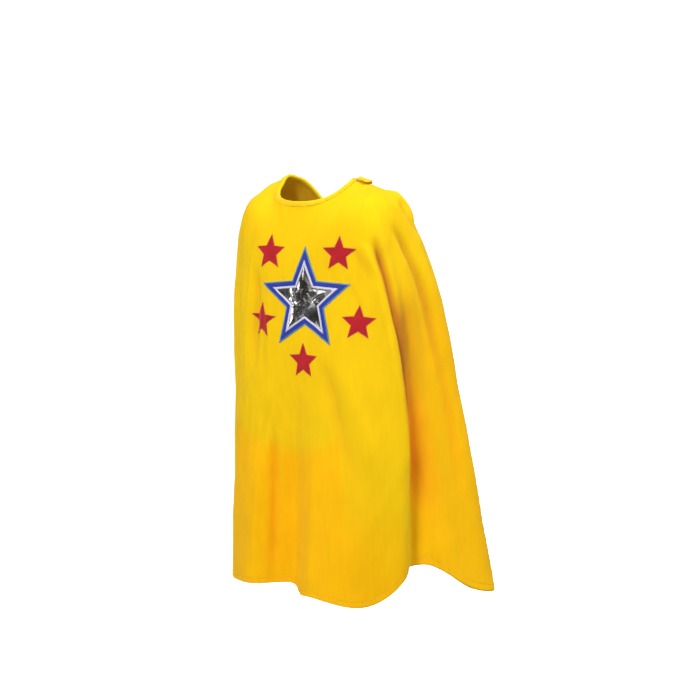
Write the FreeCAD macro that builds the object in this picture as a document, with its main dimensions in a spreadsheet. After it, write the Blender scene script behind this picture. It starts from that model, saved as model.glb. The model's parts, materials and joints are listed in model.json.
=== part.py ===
import FreeCAD, Part
import Sketcher
import math
import os

# A child's superhero cape, closed round the neck and hanging as it does on its wearer.
#
# Frame: millimetres, +Z up, +X to the wearer's right, +Y the way the wearer faces, so the
# starred back faces -Y.  The origin is the middle of the neck opening, level with the
# neck end of the shoulders.
#
# A place on the cloth is a "turn" and a "down".  Turn is the angle round the body in
# degrees: 0 at the middle of the back, 90 at the right arm, -90 at the left arm, 180 at
# the throat.  Down is 0 at the neckline and 1 at the hem.  A "drop" is the distance in
# millimetres from the neckline along the cloth.  "Lift" is the height off the outer face
# of the velour, negative on the inside.

document = FreeCAD.newDocument("superhero_cape")

# --------------------------------------------------------------------------------------
# Driving dimensions
# --------------------------------------------------------------------------------------

# Five level rings carry the drape.  Reach is the half width of the ring towards each
# side, and height is where the ring passes over that side.
RING_COLUMNS = ("down",
                "right_reach", "left_reach", "back_reach", "front_reach",
                "right_height", "left_height", "back_height", "front_height")
RINGS = {
    "neck": (0.00, 60, 57, 56, 52, 3, 1, -25, -45),
    "shoulder": (0.13, 134, 115, 86, 88, -18, -28, -98, -105),
    "chest": (0.30, 175, 140, 98, 135, -108, -118, -204, -200),
    "waist": (0.62, 219, 160, 122, 150, -325, -345, -398, -395),
    "hem": (1.00, 256, 184, 152, 170, -636, -634, -606, -646),
}

# A fold is a ridge or a valley that grows from its start down to the hem.  Its turn is
# given at the neckline, half way down and at the hem, with its spread to either side in
# degrees and its depth, negative for a valley.
FOLD_COLUMNS = ("top_turn", "middle_turn", "hem_turn",
                "spread_before", "spread_after", "depth", "start")
FOLDS = {
    "right_arm_valley": (80, 82, 71.5, 9, 20, -66, 0.05),
    "back_billow": (58, 48, 34, 26, 17, 34, 0.15),
    "back_valley": (5, 0, -4, 12, 12, -32, 0.35),
    "left_back_billow": (-25, -26, -27, 14, 14, 10, 0.20),
    "right_arm_crease": (92, 97, 96, 8, 8, -14, 0.05),
    "left_arm_valley": (-88, -92, -94, 11, 13, -22, 0.20),
    "left_front_billow": (-112, -114, -113, 9, 10, 14, 0.25),
}

# Where an arm holds the cloth out, the hem rides up, and where a valley hangs free it
# falls: the turn of that place, how far it spreads to either side in degrees, and the
# height, negative for a fall.
RISE_COLUMNS = ("turn", "spread_before", "spread_after", "height")
RISES = {
    "right_arm_rise": (67, 16, 27, 60),
    "left_arm_rise": (-94, 18, 22, 4),
    "right_panel_rise": (79, 7, 10, 14),
    "back_valley_fall": (3, 7, 10, -11),
}

DIMENSIONS = (
    ("ring_roundness", 2.2, "exponent of the rings, 2 would be an ellipse"),
    ("neck_tilt", 8, "how far the neckline dips behind the shoulder tops and rises in front"),
    ("neck_tilt_end", 0.13, "down where that tilt has died away"),
    ("neck_tilt_share", 2.6, "dip in millimetres for each unit of tilt"),
    ("lean_right", 38, "how far the hem hangs to the right of the neck"),
    ("lean_front", 25, "how far the hem hangs in front of the neck"),
    ("lean_drop", 650, "the drop over which the lean is reached"),
    ("fold_growth", 0.7, "exponent of the growth of the folds"),
    ("right_edge_neck", 150, "turn of the right front edge at the neckline"),
    ("right_edge_shoulder", 141, "the same at the shoulder"),
    ("right_edge_chest", 122, "the same at the chest"),
    ("right_edge_hem", 111, "the same at the hem"),
    ("left_edge_neck", -165, "turn of the left front edge at the neckline"),
    ("left_edge_shoulder", -155, "the same at the shoulder"),
    ("left_edge_chest", -140, "the same at the chest"),
    ("left_edge_hem", -125, "the same at the hem"),
    ("velour_thickness", 2.4, "velour with its pile, hems averaged in"),
    ("ply_gap", 0.4, "air between two plies"),
    ("binding_thickness", 1.0, "folded self-fabric binding, each leg"),
    ("binding_width", 7, "how far the binding reaches down from the neckline"),
    ("hem_margin", 9, "stitch row above the hem"),
    ("edge_margin", 7, "stitch row in from the front edges"),
    ("edge_row_start", 0.065, "down where the rows along the front edges start"),
    ("frame_margin", 1.6, "stitches in from the edge of a tape or the strap"),
    ("thread_width", 1.0, "width of a row of topstitching"),
    ("thread_height", 0.4, "height of a row of topstitching"),
    ("strap_near", 8, "drop of the upper edge of the neck strap"),
    ("strap_far", 29, "drop of the lower edge of the neck strap"),
    ("strap_thickness", 2.4, "two plies of velour"),
    ("strap_tip_turn", 100, "turn of the free end, on the right shoulder"),
    ("strap_hinge_turn", 209, "turn where the strap leaves its sewn root"),
    ("strap_root_turn", 222, "turn of the far end of the sewn root"),
    ("strap_slope_start", 138, "the strap comes down from the patches after this turn"),
    ("strap_slope_end", 176, "and lies at the level of the root from this turn"),
    ("tape_thickness", 1.2, "hook tape or loop tape"),
    ("tape_near", 10, "drop of the upper edge of both tapes"),
    ("tape_far", 27, "drop of the lower edge of both tapes"),
    ("tape_tip_turn", 102, "turn of the shoulder end of both tapes"),
    ("hook_tape_end", 128, "turn of the throat end of the hook tape"),
    ("loop_tape_end", 134, "turn of the throat end of the loop tape"),
    ("star_notch", 0.45, "notch radius of a star over its tip radius"),
    ("star_prism_depth", 60, "depth of the cutting prism of a star"),
    ("layer_allowance", 1.15, "half width of a ply before its star is cut, over the star's reach"),
    ("applique_thickness", 0.8, "one ply of applique fabric"),
    ("satin_thickness", 1.4, "satin stitching round an applique"),
    ("foil_thickness", 1.0, "padded foil cloth"),
    ("backing_thickness", 0.6, "stiffener behind the large star"),
    ("backing_radius", 90, "radius of that stiffener"),
    ("edging_gap", 0.9, "tip radius left free between a star and its edging"),
    ("blue_edging_tip", 82, "tip radius of the light blue edging"),
    ("blue_star_tip", 77, "tip radius of the blue star inside it"),
    ("silver_border_tip", 61, "tip radius of the grey satin border"),
    ("silver_star_tip", 53, "tip radius of the foil star inside it"),
    ("red_edging_tip", 28, "tip radius of the red edging"),
    ("red_star_tip", 24.4, "tip radius of the red star inside it"),
    ("label_near", 9, "drop of the upper edge of the care label"),
    ("label_far", 37, "drop of the lower edge of the care label"),
    ("label_half_turn", 16, "half the turn that the care label covers"),
    ("label_thickness", 0.5, "woven label"),
)

# Where the stars sit: turn, down, and roll of the upper point to the wearer's left.
LARGE_STAR = (17.5, 0.258, 2.8)
RED_STARS = (
    (-21.5, 0.151, 2),
    (47.0, 0.209, 0),
    (-28.0, 0.333, 0),
    (52.5, 0.392, 0),
    (13.8, 0.400, 3),
)

sizes = document.addObject("Spreadsheet::Sheet", "sizes")
sheet_rows = []
for ring, numbers in RINGS.items():
    for column, number in zip(RING_COLUMNS, numbers):
        sheet_rows.append((ring + "_" + column, number, column.replace("_", " ") + " of the " + ring))
for fold, numbers in FOLDS.items():
    for column, number in zip(FOLD_COLUMNS, numbers):
        sheet_rows.append((fold + "_" + column, number, column.replace("_", " ") + " of this fold"))
for rise, numbers in RISES.items():
    for column, number in zip(RISE_COLUMNS, numbers):
        sheet_rows.append((rise + "_" + column, number, column.replace("_", " ") + " of this rise"))
sheet_rows.extend(DIMENSIONS)
for row, (alias, number, note) in enumerate(sheet_rows, start=1):
    sizes.set("A%d" % row, note)
    sizes.set("B%d" % row, str(number))
    sizes.setAlias("B%d" % row, alias)
document.recompute()
size = {alias: float(sizes.get(alias)) for alias, number, note in sheet_rows}

# --------------------------------------------------------------------------------------
# The drape
# --------------------------------------------------------------------------------------

RING_DOWNS = [size[ring + "_down"] for ring in RINGS]


def mix(start, end, share):
    return start + (end - start) * share


def smooth(share):
    share = min(max(share, 0.0), 1.0)
    return share * share * (3.0 - 2.0 * share)


def ring_slopes(numbers):
    steps = [after - before for before, after in zip(RING_DOWNS, RING_DOWNS[1:])]
    rises = [(after - before) / step for before, after, step in zip(numbers, numbers[1:], steps)]
    slopes = [rises[0]]
    for index in range(1, len(rises)):
        before, after = steps[index - 1], steps[index]
        slopes.append((rises[index - 1] * after + rises[index] * before) / (before + after))
    slopes.append(rises[-1])
    return slopes


RING_CURVES = {}
for column in RING_COLUMNS[1:]:
    numbers = [size[ring + "_" + column] for ring in RINGS]
    RING_CURVES[column] = (numbers, ring_slopes(numbers))


def ring_value(column, down):
    """A ring dimension at any down: a smooth cubic through the five rings."""
    numbers, slopes = RING_CURVES[column]
    index = 0
    while index < len(RING_DOWNS) - 2 and down > RING_DOWNS[index + 1]:
        index += 1
    step = RING_DOWNS[index + 1] - RING_DOWNS[index]
    share = (down - RING_DOWNS[index]) / step
    square, cube = share ** 2, share ** 3
    return ((2 * cube - 3 * square + 1) * numbers[index]
            + (cube - 2 * square + share) * step * slopes[index]
            + (3 * square - 2 * cube) * numbers[index + 1]
            + (cube - square) * step * slopes[index + 1])


def fold_turn(fold, down):
    """The turn of a fold's crest: a parabola through its three turns."""
    return (size[fold + "_top_turn"] * (1 - down) * (1 - 2 * down)
            + size[fold + "_middle_turn"] * 4 * down * (1 - down)
            + size[fold + "_hem_turn"] * down * (2 * down - 1))


def bell(away, spread_before, spread_after):
    """1 at the crest and 0 far to either side."""
    spread = spread_before if away < 0 else spread_after
    return math.exp(-(away / spread) ** 2)


def outer_face(turn, down):
    """A point of the outer face of the velour."""
    side = math.sin(math.radians(turn))
    back = math.cos(math.radians(turn))
    flank = "right" if side > 0 else "left"
    facing = "back" if back > 0 else "front"
    roundness = size["ring_roundness"]
    width = abs(side / ring_value(flank + "_reach", down)) ** roundness
    depth = abs(back / ring_value(facing + "_reach", down)) ** roundness
    radius = (width + depth) ** (-1 / roundness)
    share = back ** 2 if back > 0 else back ** 4
    height = mix(ring_value(flank + "_height", down), ring_value(facing + "_height", down), share)
    tilt = size["neck_tilt"] * (1 - smooth(down / size["neck_tilt_end"]))
    height -= size["neck_tilt_share"] * tilt * back * side ** 2
    for fold in FOLDS:
        start = size[fold + "_start"]
        if down > start:
            growth = smooth((down - start) / (1 - start)) ** size["fold_growth"]
            away = turn - fold_turn(fold, down)
            spreads = size[fold + "_spread_before"], size[fold + "_spread_after"]
            radius += size[fold + "_depth"] * growth * bell(away, *spreads)
    for rise in RISES:
        spreads = size[rise + "_spread_before"], size[rise + "_spread_after"]
        away = turn - size[rise + "_turn"]
        height += size[rise + "_height"] * bell(away, *spreads) * smooth(down) * down
    lean = -height / size["lean_drop"]
    return FreeCAD.Vector(radius * side + size["lean_right"] * lean,
                          -radius * back + size["lean_front"] * lean,
                          height)


def outward(turn, down):
    """The unit normal of the outer face, pointing away from the wearer."""
    nudge_turn, nudge_down = 0.1, 0.001
    along = outer_face(turn + nudge_turn, down) - outer_face(turn - nudge_turn, down)
    below = outer_face(turn, down + nudge_down) - outer_face(turn, down - nudge_down)
    return below.cross(along).normalize()


def cloth_point(turn, down, lift):
    return outer_face(turn, down) + outward(turn, down) * lift


def down_at(turn, drop):
    """The down that lies a given drop along the cloth from the neckline."""
    pieces = 8
    down = drop / size["lean_drop"]
    for attempt in range(2):
        points = [outer_face(turn, down * index / pieces) for index in range(pieces + 1)]
        length = sum((after - before).Length for before, after in zip(points, points[1:]))
        if length > 0:
            down *= abs(drop) / length
    return down


EDGE_DOWNS = (0.0, 0.15, 0.4, 1.0)


def edge_turn(side, down):
    """The turn of the left or right front edge."""
    turns = [size[side + "_edge_" + place] for place in ("neck", "shoulder", "chest", "hem")]
    index = 0
    while index < 2 and down > EDGE_DOWNS[index + 1]:
        index += 1
    share = (down - EDGE_DOWNS[index]) / (EDGE_DOWNS[index + 1] - EDGE_DOWNS[index])
    return mix(turns[index], turns[index + 1], share)


def millimetres_per_degree(turn, down):
    return (outer_face(turn + 0.5, down) - outer_face(turn - 0.5, down)).Length


def turn_beside(side, down, margin):
    """The turn that lies a margin in from a front edge."""
    turn = edge_turn(side, down)
    inward = -1 if side == "right" else 1
    return turn + inward * margin / millimetres_per_degree(turn, down)


# --------------------------------------------------------------------------------------
# Solids that follow the drape
# --------------------------------------------------------------------------------------


def strip(turns, drops):
    """Places between two turns and two drops below the neckline."""
    def place(across, along):
        turn = mix(turns[0], turns[1], across)
        return turn, down_at(turn, mix(drops[0], drops[1], along))
    return place


def whole_cloth(across, along):
    return mix(edge_turn("left", along), edge_turn("right", along), across), along


def level(lift):
    return lambda turn: lift


def cloth_solid(place, low, high, steps_across, steps_along):
    """A closed solid between two lifts off the drape."""
    surfaces = []
    for lift in (low, high):
        grid = []
        for column in range(steps_across + 1):
            points = []
            for row in range(steps_along + 1):
                turn, down = place(column / steps_across, row / steps_along)
                points.append(cloth_point(turn, down, lift(turn)))
            grid.append(points)
        surface = Part.BSplineSurface()
        surface.interpolate(grid)
        surfaces.append(surface)
    inner, outer = surfaces
    faces = [inner.toShape(), outer.toShape()]
    first_u, last_u, first_v, last_v = inner.bounds()
    for end in (first_u, last_u):
        faces.append(inner.uIso(end).makeRuledSurface(outer.uIso(end)).toShape())
    for end in (first_v, last_v):
        faces.append(inner.vIso(end).makeRuledSurface(outer.vIso(end)).toShape())
    shell = Part.makeShell(faces)
    shell.sewShape()
    solid = Part.makeSolid(Part.Shell(shell.Faces))
    if solid.Volume < 0:
        solid.reverse()
    return solid


parts = []


def keep(thing):
    """Counts an object of the document as a sub-part of the cape."""
    parts.append(thing)
    return thing


def feature(name, shape):
    thing = document.addObject("Part::Feature", name)
    thing.Label = name
    thing.Shape = shape
    thing.Placement = FreeCAD.Placement()
    return thing


def boolean(kind, name, base, tool):
    thing = document.addObject("Part::" + kind, name)
    thing.Label = name
    thing.Base = base
    thing.Tool = tool
    thing.Placement = FreeCAD.Placement()
    return thing


# --------------------------------------------------------------------------------------
# The velour, its binding, its label and its hems
# --------------------------------------------------------------------------------------

velour = size["velour_thickness"]
gap = size["ply_gap"]
thread = size["thread_height"]
thread_width = size["thread_width"]
neck_turns = (size["left_edge_neck"], size["right_edge_neck"])

# How many steps round the body and down the back carry the whole cloth, and how many carry
# what lies along its edges.  More steps keep the plies closer to the drape.
ROUND_STEPS, DOWN_STEPS = 192, 44
NECK_STEPS = 64

keep(feature("cape_shell", cloth_solid(whole_cloth, level(-velour), level(0), ROUND_STEPS, DOWN_STEPS)))


def make_binding():
    """A folded band that wraps the raw neck edge, as a channel round the velour."""
    leg = size["binding_thickness"]
    band = cloth_solid(strip(neck_turns, (-gap - leg, size["binding_width"])),
                       level(-velour - gap - leg), level(gap + leg), NECK_STEPS, 3)
    room = cloth_solid(strip((neck_turns[0] - 4, neck_turns[1] + 4), (-gap, 2 * size["binding_width"])),
                       level(-velour - gap), level(gap), NECK_STEPS, 4)
    keep(boolean("Cut", "neck_binding", feature("binding_band", band), feature("binding_room", room)))
    low = 2 * gap + leg
    row = size["binding_width"] - 2 * thread_width
    keep(feature("binding_stitching",
                 cloth_solid(strip((neck_turns[0] + 3, neck_turns[1] - 3), (row - thread_width, row)),
                             level(low), level(low + thread), NECK_STEPS, 1)))


def make_label():
    low = -velour - gap - size["label_thickness"]
    turns = (-size["label_half_turn"], size["label_half_turn"])
    drops = (size["label_near"], size["label_far"])
    keep(feature("care_label", cloth_solid(strip(turns, drops), level(low), level(-velour - gap), 8, 4)))


def make_hem_stitching():
    """Three rows of topstitching: along the hem and up both front edges."""
    hem_down = 1 - size["hem_margin"] / size["lean_drop"]
    row_down = thread_width / size["lean_drop"]

    def hem_row(across, along):
        down = hem_down - row_down * along
        left = turn_beside("left", down, 2 * size["edge_margin"])
        right = turn_beside("right", down, 2 * size["edge_margin"])
        return mix(left, right, across), down

    keep(feature("hem_stitching", cloth_solid(hem_row, level(gap), level(gap + thread), ROUND_STEPS, 1)))
    for side in ("left", "right"):
        def edge_row(across, along, side=side):
            down = mix(size["edge_row_start"], hem_down, along)
            margin = size["edge_margin"] + thread_width * across
            return turn_beside(side, down, margin), down

        row = cloth_solid(edge_row, level(gap), level(gap + thread), 1, 2 * DOWN_STEPS)
        keep(feature(side + "_edge_stitching", row))


make_binding()
make_label()
make_hem_stitching()

# --------------------------------------------------------------------------------------
# The neck strap and its hook and loop closure
# --------------------------------------------------------------------------------------

loop_top = gap + size["tape_thickness"]
hook_top = loop_top + gap + size["tape_thickness"]
strap_high = hook_top + gap
strap_low = 2 * gap


def strap_under(turn):
    """The lift of the strap's under side: over the tapes, then down to its root."""
    run = size["strap_slope_end"] - size["strap_slope_start"]
    return mix(strap_high, strap_low, smooth((turn - size["strap_slope_start"]) / run))


def strap_over(turn):
    return strap_under(turn) + size["strap_thickness"]


def stitched_frame(name, turns, drops, base_lift, steps):
    """A closed row of stitches round a tape, a strap or a root, just inside its edge."""
    margin = size["frame_margin"]
    degree = millimetres_per_degree(mix(turns[0], turns[1], 0.5), down_at(turns[0], drops[0]))

    def inset(distance):
        turn_inset = distance / degree
        return strip((turns[0] + turn_inset, turns[1] - turn_inset), (drops[0] + distance, drops[1] - distance))

    outside = cloth_solid(inset(margin),
                          lambda turn: base_lift(turn) + gap,
                          lambda turn: base_lift(turn) + gap + thread, steps, 3)
    inside = cloth_solid(inset(margin + thread_width),
                         lambda turn: base_lift(turn),
                         lambda turn: base_lift(turn) + 2 * gap + thread, steps, 3)
    band = feature(name + "_band", outside)
    hole = feature(name + "_hole", inside)
    keep(boolean("Cut", name, band, hole))


def make_closure():
    drops = (size["strap_near"], size["strap_far"])
    tape_drops = (size["tape_near"], size["tape_far"])
    hinge = size["strap_hinge_turn"]
    strap_turns = (size["strap_tip_turn"], hinge)
    root_turns = (hinge + 0.6, size["strap_root_turn"])
    loop_turns = (size["tape_tip_turn"], size["loop_tape_end"])
    hook_turns = (size["tape_tip_turn"], size["hook_tape_end"])
    keep(feature("neck_strap", cloth_solid(strip(strap_turns, drops), strap_under, strap_over, 40, 4)))
    keep(feature("strap_root", cloth_solid(strip(root_turns, drops), strap_under, strap_over, 8, 4)))
    keep(feature("loop_patch", cloth_solid(strip(loop_turns, tape_drops), level(gap), level(loop_top), 12, 3)))
    keep(feature("hook_patch",
                 cloth_solid(strip(hook_turns, tape_drops), level(loop_top + gap), level(hook_top), 12, 3)))
    stitched_frame("strap_stitching", strap_turns, drops, strap_over, 40)
    stitched_frame("strap_root_stitching", root_turns, drops, strap_over, 8)


make_closure()

# --------------------------------------------------------------------------------------
# The stars
# --------------------------------------------------------------------------------------


def star_outline(sketch, tip_alias, gap_alias=None):
    """Draws a five-pointed star whose ten corners are bound to the sheet."""
    first = sketch.GeometryCount
    tip = "sizes." + tip_alias
    if gap_alias:
        tip = "(" + tip + " - sizes." + gap_alias + ")"
    corners = []
    for index in range(10):
        angle = 90 + 36 * index
        reach = "%s * sizes.star_notch" % tip if index % 2 else tip
        length = size[tip_alias] - (size[gap_alias] if gap_alias else 0)
        if index % 2:
            length *= size["star_notch"]
        corner = FreeCAD.Vector(length * math.cos(math.radians(angle)),
                                length * math.sin(math.radians(angle)), 0)
        corners.append((corner, angle, reach))
    for index in range(10):
        start, end = corners[index][0], corners[(index + 1) % 10][0]
        sketch.addGeometry(Part.LineSegment(start, end), False)
    for index in range(10):
        line, following = first + index, first + (index + 1) % 10
        sketch.addConstraint(Sketcher.Constraint("Coincident", line, 2, following, 1))
    for index, (corner, angle, reach) in enumerate(corners):
        for kind, number, function in (("DistanceX", corner.x, "cos"), ("DistanceY", corner.y, "sin")):
            constraint = Sketcher.Constraint(kind, -1, 1, first + index, 1, number)
            place = sketch.addConstraint(constraint)
            formula = "%s * 1 mm * %s(%d deg)" % (reach, function, angle)
            sketch.setExpression("Constraints[%d]" % place, formula)


def star_placement(turn, down, roll):
    """Stands a star on the cloth: its axis outward, its upper point towards the neckline."""
    outside = outward(turn, down)
    across = FreeCAD.Vector(0, 0, 1).cross(outside).normalize()
    upward = outside.cross(across)
    rolled = FreeCAD.Rotation(across, upward, outside, "ZXY")
    return FreeCAD.Placement(outer_face(turn, down), rolled * FreeCAD.Rotation(FreeCAD.Vector(0, 0, 1), roll))


def star_prism(name, seat, outer_alias, outer_gap=None, inner_alias=None):
    """A prism through the cloth with the outline of a star, or of a star-shaped frame."""
    body = document.addObject("PartDesign::Body", name + "_prism")
    sketch = body.newObject("Sketcher::SketchObject", name + "_outline")
    flat = [plane for plane in body.Origin.OriginFeatures if plane.Role == "XY_Plane"][0]
    sketch.AttachmentSupport = (flat, [""])
    sketch.MapMode = "FlatFace"
    star_outline(sketch, outer_alias, outer_gap)
    if inner_alias:
        star_outline(sketch, inner_alias)
    pad = body.newObject("PartDesign::Pad", name + "_pad")
    pad.Profile = sketch
    pad.Midplane = True
    pad.setExpression("Length", "sizes.star_prism_depth * 1 mm")
    body.Placement = star_placement(*seat)
    return body


def star_layer(name, seat, reach, low, high):
    """The ply that a star is cut from, a little larger than the star."""
    turn, down, roll = seat
    half_turn = size["layer_allowance"] * reach / millimetres_per_degree(turn, down)
    half_down = size["layer_allowance"] * reach / size["lean_drop"]
    turns = (turn - half_turn, turn + half_turn)
    downs = (down - half_down, down + half_down)

    def place(across, along):
        return mix(turns[0], turns[1], across), mix(downs[0], downs[1], along)

    return feature(name + "_layer", cloth_solid(place, level(low), level(high), 16, 16))


def star_piece(name, seat, low, thickness, outer_alias, outer_gap=None, inner_alias=None):
    layer = star_layer(name, seat, size[outer_alias], low, low + thickness)
    prism = star_prism(name, seat, outer_alias, outer_gap, inner_alias)
    keep(boolean("Common", name, layer, prism))


def make_large_star():
    """Blue star in its light blue edging, with the foil star in its grey border on top."""
    applique, satin = size["applique_thickness"], size["satin_thickness"]
    star_piece("blue_star", LARGE_STAR, gap, applique, "blue_star_tip", "edging_gap")
    star_piece("blue_star_edging", LARGE_STAR, gap, satin, "blue_edging_tip", None, "blue_star_tip")
    upper = 2 * gap + applique
    star_piece("silver_star", LARGE_STAR, upper, size["foil_thickness"], "silver_star_tip", "edging_gap")
    star_piece("silver_border", LARGE_STAR, upper, satin, "silver_border_tip", None, "silver_star_tip")


def make_star_backing():
    """A round stiffener on the inside of the velour, behind the large star."""
    low = -velour - gap - size["backing_thickness"]
    layer = star_layer("star_backing", LARGE_STAR, size["backing_radius"], low, -velour - gap)
    disc = document.addObject("Part::Cylinder", "star_backing_disc")
    disc.setExpression("Radius", "sizes.backing_radius * 1 mm")
    disc.setExpression("Height", "sizes.star_prism_depth * 2 mm")
    seat = star_placement(*LARGE_STAR)
    centre = FreeCAD.Placement(FreeCAD.Vector(0, 0, -size["star_prism_depth"]), FreeCAD.Rotation())
    disc.Placement = seat.multiply(centre)
    keep(boolean("Common", "star_backing", layer, disc))


make_large_star()
make_star_backing()
for number, seat in enumerate(RED_STARS, start=1):
    star_piece("red_star_%d" % number, seat, gap, size["applique_thickness"], "red_star_tip", "edging_gap")
    star_piece("red_star_edging_%d" % number, seat, gap, size["satin_thickness"],
               "red_edging_tip", None, "red_star_tip")

# --------------------------------------------------------------------------------------
# Checks and STEP files
# --------------------------------------------------------------------------------------

document.recompute()
for thing in document.Objects:
    if "Invalid" in thing.State or "Error" in thing.State:
        raise RuntimeError(thing.Label + " failed: " + ", ".join(thing.State))
for part in parts:
    if part.Shape.isNull() or not part.Shape.isValid() or not part.Shape.Solids:
        raise RuntimeError(part.Label + " has no valid solid")

os.makedirs("parts", exist_ok=True)
for part in parts:
    part.Shape.exportStep("parts/" + part.Label + ".step")
    print("%-24s %8.0f mm3  %d solid(s)" % (part.Label, part.Shape.Volume, len(part.Shape.Solids)))
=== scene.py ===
import json
import math

import bmesh
import bpy
import numpy as np
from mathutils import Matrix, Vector


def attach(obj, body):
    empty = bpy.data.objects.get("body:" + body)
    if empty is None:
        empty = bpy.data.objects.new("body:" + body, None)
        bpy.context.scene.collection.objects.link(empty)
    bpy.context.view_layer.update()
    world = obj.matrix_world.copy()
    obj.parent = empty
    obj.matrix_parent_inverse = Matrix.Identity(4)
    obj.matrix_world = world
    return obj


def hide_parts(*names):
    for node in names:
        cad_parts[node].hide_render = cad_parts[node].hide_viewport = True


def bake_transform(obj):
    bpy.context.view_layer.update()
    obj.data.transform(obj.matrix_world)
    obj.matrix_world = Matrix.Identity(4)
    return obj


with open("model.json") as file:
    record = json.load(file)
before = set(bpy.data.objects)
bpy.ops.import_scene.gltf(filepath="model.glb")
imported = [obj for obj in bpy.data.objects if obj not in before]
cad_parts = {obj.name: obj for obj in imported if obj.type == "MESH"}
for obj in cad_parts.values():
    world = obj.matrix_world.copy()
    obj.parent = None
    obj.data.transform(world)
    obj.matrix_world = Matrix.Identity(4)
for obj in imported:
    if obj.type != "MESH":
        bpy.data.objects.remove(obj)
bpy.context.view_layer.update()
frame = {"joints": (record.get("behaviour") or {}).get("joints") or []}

# A child's superhero cape in velour, round the CAD frame.  Lengths here are in millimetres
# until a mesh is made, and MM turns them into metres.
#
# A place on the cloth is a "turn" and a "down", as in the CAD source.  Turn is the angle
# round the body in degrees: 0 at the middle of the back, 90 at the right arm, -90 at the
# left arm, 180 at the throat.  Down is 0 at the neckline and 1 at the hem.  A "drop" is the
# distance from the neckline along the cloth, and "lift" is the height off the outer face.

MM = 0.001

# --------------------------------------------------------------------------------------
# The drape of the CAD model
# --------------------------------------------------------------------------------------

RING_COLUMNS = ("down", "right_reach", "left_reach", "back_reach", "front_reach",
                "right_height", "left_height", "back_height", "front_height")
RINGS = (
    (0.00, 60, 57, 56, 52, 3, 1, -25, -45),
    (0.13, 134, 115, 86, 88, -18, -28, -98, -105),
    (0.30, 175, 140, 98, 135, -108, -118, -204, -200),
    (0.62, 219, 160, 122, 150, -325, -345, -398, -395),
    (1.00, 256, 184, 152, 170, -636, -634, -606, -646),
)
# Turns at the neckline, half way down and at the hem, spread before, spread after, depth
# and the down where the fold starts.
FOLDS = (
    (80, 82, 71.5, 9, 20, -66, 0.05),
    (58, 48, 34, 26, 17, 34, 0.15),
    (5, 0, -4, 12, 12, -32, 0.35),
    (-25, -26, -27, 14, 14, 10, 0.20),
    (92, 97, 96, 8, 8, -14, 0.05),
    (-88, -92, -94, 11, 13, -22, 0.20),
    (-112, -114, -113, 9, 10, 14, 0.25),
)
# Where the cloth rides up or falls towards the hem: turn, spread before and after, height.
RISES = ((67, 16, 27, 60), (-94, 18, 22, 4), (79, 7, 10, 14), (3, 7, 10, -11))
ROUNDNESS = 2.2       # a ring is a circle at 2 and squarer above it
NECK_TILT, NECK_TILT_END, NECK_TILT_SHARE = 8, 0.13, 2.6
LEAN_RIGHT, LEAN_FRONT = 38, 25       # how far the hem shifts sideways and forward
LEAN_DROP = 650       # the cloth's length from the neckline to the hem, near enough
FOLD_GROWTH = 0.7
EDGE_DOWNS = (0.0, 0.15, 0.4, 1.0)    # where the turns of both front edges are given
RIGHT_EDGE = (150, 141, 122, 111)
LEFT_EDGE = (-165, -155, -140, -125)
SIDES = ("left", "right")

VELOUR = 2.4          # thickness of the velour with its pile
HEM_PLY = 1.5         # the turned ply inside the hem and the front edges
HEM_WIDTH = 13.0      # width of that turned ply
HEM_MARGIN = 9.0      # stitch row above the hem
EDGE_MARGIN = 7.5     # stitch row in from the front edges
EDGE_ROW_START = 0.065    # down where that row starts, under the strap

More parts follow.
